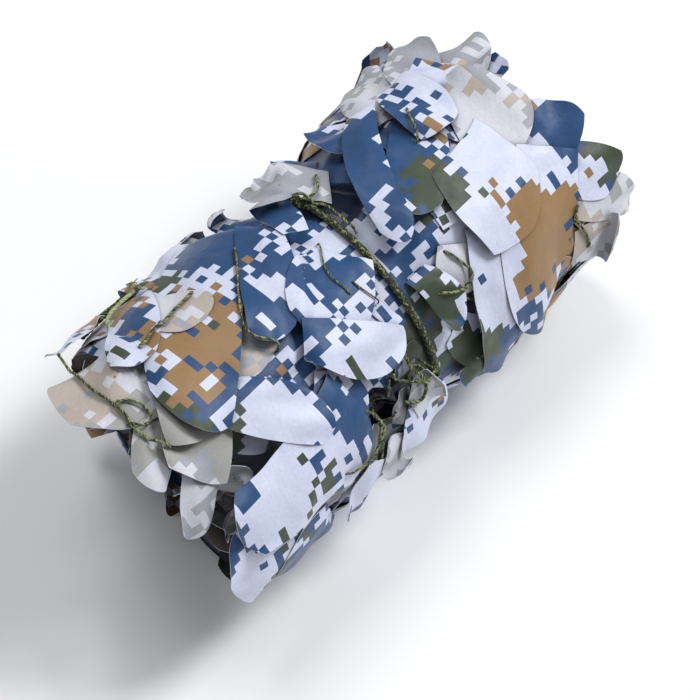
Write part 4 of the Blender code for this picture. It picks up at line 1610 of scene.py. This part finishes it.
    def build_turns(self, name: str, near: bool, finishes: Finishes) -> bpy.types.Object:
        """Wind the margin of the cloth that stands in one end.

        Args:
            name: the piece's name.
            near: whether it is the open mouth.
            finishes: the materials.

        Returns:
            The spiral's object.
        """
        shape = self.shape
        hand = 1.0 if near else -1.0
        t = np.linspace(0.0, 1.0, self.turn_steps)
        angle = TURN * self.turns * t * hand
        rim = shape.rim(near, angle)
        uneven = sum(height * np.sin(rate * angle + phase) for rate, phase, height in self.uneven)
        uneven = uneven + 0.007 * np.sin(17.0 * angle + 2.0) * np.sin(2.7 * angle)
        uneven = uneven * np.clip(6.0 * (1.0 - t), 0.0, 1.0) * np.clip(5.0 * t, 0.0, 1.0)
        share = self.first_share + self.share_reach * t + uneven
        lip = shape.hollow(share, angle * hand, shape.depth(near))
        lip = lip - 0.001 + 0.009 * np.abs(np.sin(1.63 * angle)) + 0.0022 * np.sin(7.1 * angle)
        lip = np.maximum(lip, 0.001)
        levels = np.linspace(0.0, 1.0, 8)
        inside = lip[:, None] + self.strip_width * levels[None, :]
        turn_grid = np.broadcast_to(angle[:, None], inside.shape)
        share_grid = np.broadcast_to(share[:, None], inside.shape)
        x = self.end_x(near, inside, share_grid, turn_grid)
        flare = np.sin(2.9 * angle + 1.3) * 0.0042 + 0.0016 * np.sin(9.3 * angle)
        flare = flare[:, None] * (1.0 - levels[None, :]) ** 2
        radius = (rim * share)[:, None] + flare * np.clip(4.0 * (1.0 - t), 0.0, 1.0)[:, None]
        middle = shape.place(x, turn_grid, radius)
        run = np.concatenate(((0.0,), np.cumsum(np.abs(np.diff(angle)) * (rim * share)[1:])))
        uv = np.stack((np.broadcast_to(run[:, None], x.shape), x), -1)
        # the wound turns take the darkened finishes: painted shade
        item = sheet_object(name, middle, shape.outward(turn_grid), self.strip_thickness, uv,
                            finishes.sides(Face.PRINTED, True))
        return item

    def build_leaf(self, name: str, leaf: EndLeaf, finishes: Finishes) -> bpy.types.Object:
        """Make one tongue of cut cloth that stands out between the turns of an end.

        Args:
            name: the piece's name.
            leaf: its row of the table.
            finishes: the materials.

        Returns:
            The tongue's object.
        """
        shape, share = self.shape, leaf.share
        length, width, bend = leaf.length / 1000.0, leaf.width / 1000.0, leaf.bend / 1000.0
        t, side = np.meshgrid(np.linspace(0.0, 1.0, 22), np.linspace(-1.0, 1.0, 17),
                              indexing="ij")
        swell = np.sqrt(np.clip(1.0 - np.clip(2.0 * t - 1.0, 0.0, 1.0) ** 2 * 0.82, 0.0, 1.0))
        reach = t * (1.0 - 0.22 * side ** 2 * t ** 2)
        centre = math.radians(leaf.turn)
        angle = centre + side * 0.5 * width * swell / (share * shape.radius)
        shares = np.full(t.shape, share)
        start = self.end_inset(shares, shape.depth(leaf.near)) - 0.001
        inside = start - length * reach * (1.0 - 0.25 * np.abs(bend) / length * t)
        ripple = 0.0016 * np.sin(3.0 * side + 5.0 * t + leaf.turn) * t
        radius = shape.rim(leaf.near, angle) * share + bend * t ** 2 + ripple - 0.002 * side ** 2
        x = self.end_x(leaf.near, inside, shares, angle)
        middle = shape.place(x, angle, radius)
        around = (angle - centre) * share * shape.radius + centre * UNROLL
        # the tongues take the darkened finishes: painted shade
        item = sheet_object(name, middle, shape.outward(angle), self.leaf_thickness,
                            np.stack((x + 0.3 * share, around), -1),
                            finishes.sides(leaf.face, True))
        return item


@dataclass
class StrandCord:
    """A cord made of real strands: braided for the tie, twisted for the net."""

    name: str
    path: Array
    radius: float
    closed: bool
    strands: int
    braided: bool
    pitch: float
    material: bpy.types.Material
    sides: int = 6
    weave_swing: float = 0.10
    braid_share: float = 0.36
    twist_share: float = 0.54
    braid_flatness: float = 0.72
    strand_width: float = 1.25

    def frames(self) -> tuple[Array, Array, Array, Array]:
        """Return evenly spaced points of the path with their directions.

        Returns:
            The points, two cross directions at each, and the length up to each.
        """
        path = self.path
        if self.closed:
            path = np.concatenate((path, path[:1]))
        legs = np.linalg.norm(np.diff(path, axis=0), axis=1)
        run = np.concatenate(((0.0,), np.cumsum(legs)))
        count = max(12, int(run[-1] / (self.pitch / 14.0)))
        at = np.linspace(0.0, run[-1], count + 1)
        points = np.stack([np.interp(at, run, path[:, axis]) for axis in range(3)], -1)
        ahead = self.headings(points)
        reference = np.zeros_like(ahead)
        first = np.array((1.0, 0.0, 0.0)) if abs(ahead[0, 0]) < 0.9 else np.array((0.0, 1.0, 0.0))
        reference[0] = first - ahead[0] * (first @ ahead[0])
        reference[0] /= np.linalg.norm(reference[0])
        for index in range(1, len(points)):
            side = reference[index - 1] - ahead[index] * (reference[index - 1] @ ahead[index])
            reference[index] = side / np.linalg.norm(side)
        return points, reference, np.cross(ahead, reference), at

    def headings(self, points: Array) -> Array:
        """Return the unit direction along a line of points.

        Args:
            points: the line.

        Returns:
            The directions.
        """
        ahead = np.gradient(points, axis=0)
        if self.closed:
            ahead[0] = ahead[-1] = points[1] - points[-2]
        return ahead / np.linalg.norm(ahead, axis=1, keepdims=True)

    def strand(self, number: int, points: Array, one: Array, two: Array,
               spin: Array) -> tuple[Array, Array]:
        """Sweep one strand round the cord's middle.

        Args:
            number: which strand it is.
            points: the cord's middle.
            one: first cross direction at each point.
            two: second cross direction at each point.
            spin: how far a strand has turned round the middle at each point.

        Returns:
            The places of the strand's corners, and their places round it.
        """
        hand = -1.0 if self.braided and number % 2 else 1.0
        start = TURN * (number // 2 if self.braided else number)
        start /= (self.strands / 2.0 if self.braided else self.strands)
        angle = hand * spin + start
        thick = self.radius * (self.braid_share if self.braided else self.twist_share)
        reach = np.full(spin.shape, self.radius - thick)
        if self.braided:
            reach *= 1.0 + self.weave_swing * hand * np.cos(self.strands / 2.0 * spin)
        centre = points + one * (reach * np.cos(angle))[:, None]
        centre = centre + two * (reach * np.sin(angle))[:, None]
        ahead = self.headings(centre)
        out = centre - points
        out = out - ahead * np.sum(out * ahead, axis=1, keepdims=True)
        out /= np.linalg.norm(out, axis=1, keepdims=True)
        over = np.cross(ahead, out)
        loops = len(centre) - 1 if self.closed else len(centre)
        ring = TURN * (np.arange(self.sides) + 0.5) / self.sides
        high = thick * (self.braid_flatness if self.braided else 1.0) * np.cos(ring)
        wide = thick * self.strand_width * np.sin(ring)
        body = (centre[:loops, None] + out[:loops, None] * high[None, :, None]
                + over[:loops, None] * wide[None, :, None])
        return body, ring * thick

    def strand_faces(self, loops: int, shift: int) -> list[tuple[int, ...]]:
        """Return the faces of one strand.

        Args:
            loops: rings of corners in the strand.
            shift: number of its first corner.

        Returns:
            The corner numbers of each face.
        """
        index = np.arange(loops * self.sides).reshape(loops, self.sides) + shift
        after = np.roll(index, -1, axis=1)
        if self.closed:
            quads = np.stack((index, after, np.roll(after, -1, axis=0),
                              np.roll(index, -1, axis=0)), -1)
            caps = []
        else:
            quads = np.stack((index[:-1], after[:-1], after[1:], index[1:]), -1)
            caps = [tuple(int(i) for i in index[0][::-1]), tuple(int(i) for i in index[-1])]
        return caps + [tuple(int(i) for i in face) for face in quads.reshape(-1, 4)]

    def build(self) -> bpy.types.Object:
        """Sweep every strand and join them into one piece.

        Returns:
            The cord's object.
        """
        points, one, two, run = self.frames()
        turns = max(1, round(run[-1] / self.pitch))
        spin = TURN * turns * run / run[-1]
        bodies, faces, places = [], [], []
        shift = 0
        for number in range(self.strands):
            body, across = self.strand(number, points, one, two, spin)
            loops = len(body)
            faces += self.strand_faces(loops, shift)
            shift += loops * self.sides
            bodies.append(body.reshape(-1, 3))
            uv = np.stack((np.broadcast_to(run[:loops, None] + 0.37 * number, body.shape[:2]),
                           np.broadcast_to(across, body.shape[:2])), -1)
            places.append(uv.reshape(-1, 2))
        item = mesh_object(self.name, np.concatenate(bodies), faces, np.concatenate(places),
                           "cord", [self.material], np.zeros(len(faces)))
        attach(item, "root")
        return item


def curve_through(knots: Array, count: int) -> Array:
    """Return evenly spread points of a smooth curve through all the knots.

    Args:
        knots: the knots, one row each.
        count: how many points the curve has.

    Returns:
        The points, from the first knot to the last.
    """
    steps = np.linspace(0.0, len(knots) - 1.0, count)
    low = np.clip(np.floor(steps).astype(int), 0, len(knots) - 2)
    part = (steps - low)[:, None]
    before = knots[np.clip(low - 1, 0, len(knots) - 1)]
    ahead = knots[np.clip(low + 2, 0, len(knots) - 1)]
    here, there = knots[low], knots[low + 1]
    return 0.5 * (2.0 * here + (there - before) * part
                  + (2.0 * before - 5.0 * here + 4.0 * there - ahead) * part ** 2
                  + (3.0 * here - before - 3.0 * there + ahead) * part ** 3)


@dataclass
class Cordage:
    """The tie round the waist, the edge rope and the cords of the net."""

    shape: RollShape
    finishes: Finishes
    tie_radius: float = 0.0028
    tie_gap: float = 0.0004
    tie_pitch: float = 0.024
    tie_steps: int = 360
    seat: float = 0.0002
    knot_steps: int = 14
    lowest_ground: float = 0.05

    def tie(self) -> bpy.types.Object:
        """Make the closed braided ring of the tie.

        Returns:
            The tie's object.
        """
        turn = np.linspace(0.0, TURN, self.tie_steps, endpoint=False)
        ring = self.shape.waist_radius + self.tie_gap + self.tie_radius
        x = self.shape.waist_x + self.shape.lean(turn)
        path = self.shape.place(x, turn, np.full(turn.shape, ring))
        item = StrandCord("tie_braided", path, self.tie_radius, True, 8, True, self.tie_pitch,
                          self.finishes.tie).build()
        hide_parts("tie_cord")
        return item

    def laid(self, name: str, radius: float, lift: float, places: tuple[tuple[float, float], ...],
             ground: Ground, strands: int, material: bpy.types.Material,
             dips: tuple[float, float] = (0.0, 0.0), passes: int = 12, reach: float = 0.14
             ) -> bpy.types.Object:
        """Lay one cord over the cloth along a route.

        Args:
            name: the piece's name.
            radius: the cord's radius in metres.
            lift: how far it stands over the cloth.
            places: its route, x in mm and turn in degrees.
            ground: what it lies on.
            strands: how many strands it is twisted from.
            material: its finish.
            dips: how far its start and its end sink into the cloth.
            passes: how stiffly it bridges the hollows.
            reach: share of its length over which each end sinks.

        Returns:
            The cord's object.
        """
        curve = curve_through(np.array(places, dtype=float), self.knot_steps * len(places))
        x, turn = curve[:, 0] / 1000.0, np.radians(curve[:, 1])
        under = ground.over(x, turn, ground.step)
        inside = under > self.lowest_ground
        fill = float(np.median(under[inside])) if inside.any() else self.shape.radius
        least = np.where(inside, under, fill) + radius + self.seat
        height = least
        for _ in range(passes):
            soft = height.copy()
            soft[1:-1] = 0.25 * height[:-2] + 0.5 * height[1:-1] + 0.25 * height[2:]
            height = np.maximum(soft, least)
        share = np.linspace(0.0, 1.0, len(height))
        height = height + lift * np.sin(math.pi * share) ** 2
        height = height - dips[0] * np.clip(1.0 - share / reach, 0.0, 1.0) ** 2
        height = height - dips[1] * np.clip(1.0 - (1.0 - share) / reach, 0.0, 1.0) ** 2
        item = StrandCord(name, self.shape.place(x, turn, height), radius, False, strands, False,
                          radius * 6.0, material).build()
        ground.add(np.stack((x, x + 0.0005), 1), np.stack((turn, turn), 1),
                   np.stack((height, height), 1) + radius)
        return item


@dataclass
class Bundle:
    """The whole rolled net in its order of making."""

    shape: RollShape
    finishes: Finishes
    ground: Ground = field(default_factory=Ground)
    filler_seed: int = 26
    filler_columns: int = 9
    filler_ring: int = 8
    filler_from: float = -168.0
    filler_to: float = 150.0
    tip_from: float = -206.0
    tip_to: float = 184.0
    waist_clear: float = 16.0
    leaf_clear: float = 24.0
    rope_middle: tuple[float, float] = (-144, -62)
    rope_clear: float = 34.0
    pit_clear: float = 42.0
    pit_leaf_count: int = 2
    cord_dip: float = 0.0045
    rope_radius: float = 0.0027
    tape_radius: float = 0.0016
    tuft_radius: float = 0.00045

    def fillers(self) -> list[Lobe]:
        """Return smaller lobes that fill the places between the named ones.

        Returns:
            The lobes, in the order in which they are laid.
        """
        draw = np.random.default_rng(self.filler_seed)
        out = []
        for column, x in enumerate(np.linspace(self.filler_from, self.filler_to,
                                               self.filler_columns)):
            for step in range(self.filler_ring):
                turn = 45.0 * step + 22.0 * (column % 2) + draw.uniform(-8.0, 8.0)
                place = x + draw.uniform(-10.0, 10.0)
                heading = math.radians(draw.uniform(120.0, 240.0) if x < 0 else
                                       draw.uniform(-70.0, 110.0))
                length = draw.uniform(46.0, 74.0)
                tip_x = place + length * math.cos(heading)
                tip_turn = turn + math.degrees(length * math.sin(heading) / UNROLL_MM)
                width = draw.uniform(34.0, 52.0)
                lean, bow = draw.uniform(-9.0, 9.0), draw.uniform(-8.0, 8.0)
                face = Face.REVERSE if draw.uniform() < 0.25 else Face.PRINTED
                lift = draw.uniform(98.0, 103.0)
                if not self.filler_fits((place, turn), (tip_x, tip_turn)):
                    continue
                out.append(Lobe(f"filler_{len(out):02d}", place, turn, tip_x, tip_turn, lift,
                                width, bow, lean, draw.uniform(0.3, 0.8), 1.0, face,
                                print_turn=float(draw.choice((0.0, 0.0, 0.0, -12.0, 90.0))),
                                print_move=(float(draw.uniform(-0.02, 0.02)), 0.0)))
        return out

    def filler_fits(self, root: tuple[float, float], tip: tuple[float, float]) -> bool:
        """Return whether a filler keeps clear of the tie, the hollows, the rope and the floor.

        Args:
            root: where it starts, in mm along the roll and degrees round it.
            tip: where it ends.

        Returns:
            Whether it may be laid.
        """
        low, high = sorted((root[0], tip[0]))
        waist = self.shape.waist_x * 1000.0
        if low - self.waist_clear < waist < high + self.waist_clear:
            return False
        if self.in_pit(*root) or self.in_pit(*tip):
            return False
        if min(math.dist(place, self.rope_middle) for place in (root, tip)) < self.rope_clear:
            return False
        if not self.tip_from < tip[0] < self.tip_to or math.cos(math.radians(root[1])) < -0.86:
            return False
        return math.cos(math.radians(tip[1])) >= -0.84

    def in_pit(self, x: float, turn: float) -> bool:
        """Return whether a place, in mm and degrees, lies near an open hollow."""
        return any(ply.holds(x, turn, self.pit_clear) for ply in PLIES)

    def pit_leaves(self) -> list[Lobe]:
        """Return the edges of lower layers that show in the open hollows.

        Returns:
            The lobes, in the order in which they are laid.
        """
        draw = np.random.default_rng(self.filler_seed + 1)
        out = []
        for ply in PLIES:
            if ply.height > 0.0:
                continue
            for step in range(self.pit_leaf_count):
                heading = draw.uniform(0.0, TURN)
                reach = 0.55 * ply.length
                root_x = ply.x - reach * math.cos(heading)
                root_turn = ply.turn - math.degrees(reach * math.sin(heading) / UNROLL_MM)
                tip_x = ply.x - 0.12 * reach * math.cos(heading)
                tip_turn = ply.turn - math.degrees(0.12 * reach * math.sin(heading) / UNROLL_MM)
                waist = self.shape.waist_x * 1000.0
                if min(abs(root_x - waist), abs(tip_x - waist)) < self.leaf_clear:
                    continue
                face = Face.REVERSE if step == 1 else Face.PRINTED
                # the lobes in the hollows take the darkened finishes: painted shade
                out.append(Lobe(f"pit_{len(out):02d}", root_x, root_turn, tip_x, tip_turn,
                                86.0 + 3.0 * step, draw.uniform(24.0, 34.0),
                                draw.uniform(-4.0, 4.0), draw.uniform(-5.0, 5.0), 0.4, 0.0, face,
                                deep=True))
        return out

    def low(self) -> list[Lobe]:
        """Return the small lobes that lie under the named ones."""
        return [Lobe.of_row(values) for values in LOW_LOBES]

    def named(self) -> list[Lobe]:
        """Return the lobes of the table, each of which replaces its solid.

        Returns:
            The lobes, in the order in which they are laid.
        """
        out = []
        for number, values in enumerate(LOBES):
            move = (0.0, (0.0, 0.0, CELL, -CELL)[number % 4])
            out.append(Lobe.of_row(values, node="lobe_" + values[0], print_move=move))
        return out

    def build(self) -> None:
        """Make every piece and report it."""
        self.wind()
        cordage = Cordage(self.shape, self.finishes)
        LOG.info("made %s", cordage.tie().name)
        turn = np.linspace(0.0, TURN, 361)[None, :].repeat(3, 0)
        beside = np.array((-0.003, 0.0, 0.003))[:, None]
        top = self.shape.waist_radius + 2.0 * cordage.tie_radius + cordage.tie_gap
        x = self.shape.waist_x + self.shape.lean(turn) + beside
        self.ground.add(x, turn, np.full(x.shape, top))
        self.lay_lobes(self.pit_leaves() + self.fillers() + self.low())
        self.lay_cords(cordage, CORDS, 0.0)
        rope = cordage.laid("edge_rope_laid", self.rope_radius, 0.0, EDGE_ROPE, self.ground, 3,
                            self.finishes.tie, passes=40)
        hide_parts("edge_rope")
        self.lay_lobes(self.named())
        self.lay_cords(cordage, TOP_CORDS, self.cord_dip)
        cordage.laid("net_tape", self.tape_radius, 0.0, TAPE, self.ground, 4,
                     self.finishes.pale_cord, (self.cord_dip, 0.0), 60)
        for number, places in enumerate(TUFT):
            cordage.laid(f"net_tape_strand_{number}", self.tuft_radius, 0.0, places,
                         self.ground, 2, self.finishes.pale_cord, passes=40)

    def wind(self) -> None:
        """Make the wound net with its turns and tongues at both ends."""
        roll = WoundNet(self.shape)
        roll.build_skin(self.ground, self.finishes)
        roll.build_turns("mouth_turns", True, self.finishes)
        roll.build_turns("far_end_turns", False, self.finishes)
        for number, leaf in enumerate(END_LEAVES):
            name = f"{'mouth' if leaf.near else 'far_end'}_leaf_{number:02d}"
            roll.build_leaf(name, leaf, self.finishes)
        LOG.info("wound the net, with %d tongues at its ends", len(END_LEAVES))

    def lay_lobes(self, lobes: list[Lobe]) -> None:
        """Lay lobes in their order, each on what lies beneath it.

        Args:
            lobes: the lobes.
        """
        for lobe in lobes:
            lobe.build(self.shape, self.ground, self.finishes)
        LOG.info("laid %d lobes, up to %s", len(lobes), lobes[-1].name)

    def lay_cords(self, cordage: Cordage, table: tuple[Route, ...], dip: float) -> None:
        """Lay the net cords of a table.

        Args:
            cordage: what makes the cords.
            table: their routes.
            dip: how far both ends sink into the cloth.
        """
        for route in table:
            cordage.laid("net_cord_" + route.name, route.radius / 1000.0, route.lift / 1000.0,
                         route.places, self.ground, 3, self.finishes.net_cord, (dip, dip))
        LOG.info("laid %d cords of the net", len(table))


@dataclass
class Studio:
    """Floor, soft light and the camera."""

    target: tuple[float, float, float] = (0.018, 0.001, 0.098)
    azimuth: float = -49.5
    elevation: float = 55.5
    lens: float = 120.0
    sensor: float = 36.0
    distance: float = 1.68
    aim_right: float = 0.0036
    aim_down: float = 0.0331
    floor_reach: float = 6.0
    sky: tuple[float, float, float, float] = (0.96, 0.98, 1.0, 1.0)
    sky_strength: float = 0.27
    lights: tuple[tuple[str, tuple[float, float, float], float, float], ...] = (
        ("key", (2.1, -1.3, 3.3), 1.2, 112.0),
        ("top", (0.2, 1.4, 3.9), 1.6, 52.0),
        ("fill", (-1.6, -2.6, 2.4), 2.0, 8.0),
    )

    def directions(self) -> tuple[Vector, Vector, Vector]:
        """Return the directions back to the camera, to its right and up.

        Returns:
            The three directions.
        """
        az, el = math.radians(self.azimuth), math.radians(self.elevation)
        back = Vector((math.sin(az) * math.cos(el), -math.cos(az) * math.cos(el), math.sin(el)))
        right = Vector((math.cos(az), math.sin(az), 0.0))
        return back, right, back.cross(right)

    def camera(self) -> None:
        """Set up the camera at the photograph's angle."""
        back, right, up = self.directions()
        aim = Vector(self.target) + right * self.aim_right - up * self.aim_down
        data = bpy.data.cameras.new("camera")
        data.lens = self.lens
        data.sensor_width = self.sensor
        data.clip_end = 50.0
        item = bpy.data.objects.new("camera", data)
        item.location = aim + back * self.distance
        item.rotation_euler = (-back).to_track_quat("-Z", "Y").to_euler()
        bpy.context.scene.collection.objects.link(item)
        bpy.context.scene.camera = item

    def light(self, name: str, place: tuple[float, float, float], size: float,
              power: float) -> None:
        """Add one area light that faces the roll.

        Args:
            name: the light's name.
            place: where it stands.
            size: the side of its square.
            power: its power in watts.
        """
        data = bpy.data.lights.new(name, "AREA")
        data.energy = power
        data.size = size
        item = bpy.data.objects.new(name, data)
        item.location = place
        way = Vector(self.target) - Vector(place)
        item.rotation_euler = way.to_track_quat("-Z", "Y").to_euler()
        bpy.context.scene.collection.objects.link(item)

    def build(self) -> None:
        """Make the floor, the lights and the camera."""
        mesh = bpy.data.meshes.new("floor")
        reach = self.floor_reach
        mesh.from_pydata([(-reach, -reach, 0.0), (reach, -reach, 0.0), (reach, reach, 0.0),
                          (-reach, reach, 0.0)], [], [(0, 1, 2, 3)])
        mesh.materials.append(PlainFinish("pale_floor", (250, 250, 251), 0.9, 0.002).build())
        floor = bpy.data.objects.new("floor", mesh)
        bpy.context.scene.collection.objects.link(floor)
        world = bpy.data.worlds.new("studio")
        bpy.context.scene.world = world
        world.use_nodes = True
        sky = world.node_tree.nodes["Background"]
        sky.inputs[0].default_value = self.sky
        sky.inputs[1].default_value = self.sky_strength
        for name, place, size, power in self.lights:
            self.light(name, place, size, power)
        self.camera()
        bpy.context.scene.view_settings.view_transform = "Standard"


def packed_shift(shape: RollShape) -> tuple[float, float, float]:
    """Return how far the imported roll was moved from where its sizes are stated.

    Args:
        shape: the roll before the move.

    Returns:
        The move along X, Y and Z, read from the ring of the tie.
    """
    low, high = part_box("tie_cord")
    middle = [0.5 * (a + b) for a, b in zip(low, high)]
    return (middle[0] - shape.waist_x, middle[1], middle[2] - shape.axis_height)


def main() -> None:
    """Build the dressed roll and its studio."""
    logging.basicConfig(level=logging.INFO)
    shape = RollShape(shift=packed_shift(RollShape()))
    LOG.info("shift %s", shape.shift)
    Bundle(shape, Finishes()).build()
    Studio().build()


if __name__ == "__main__":
    main()
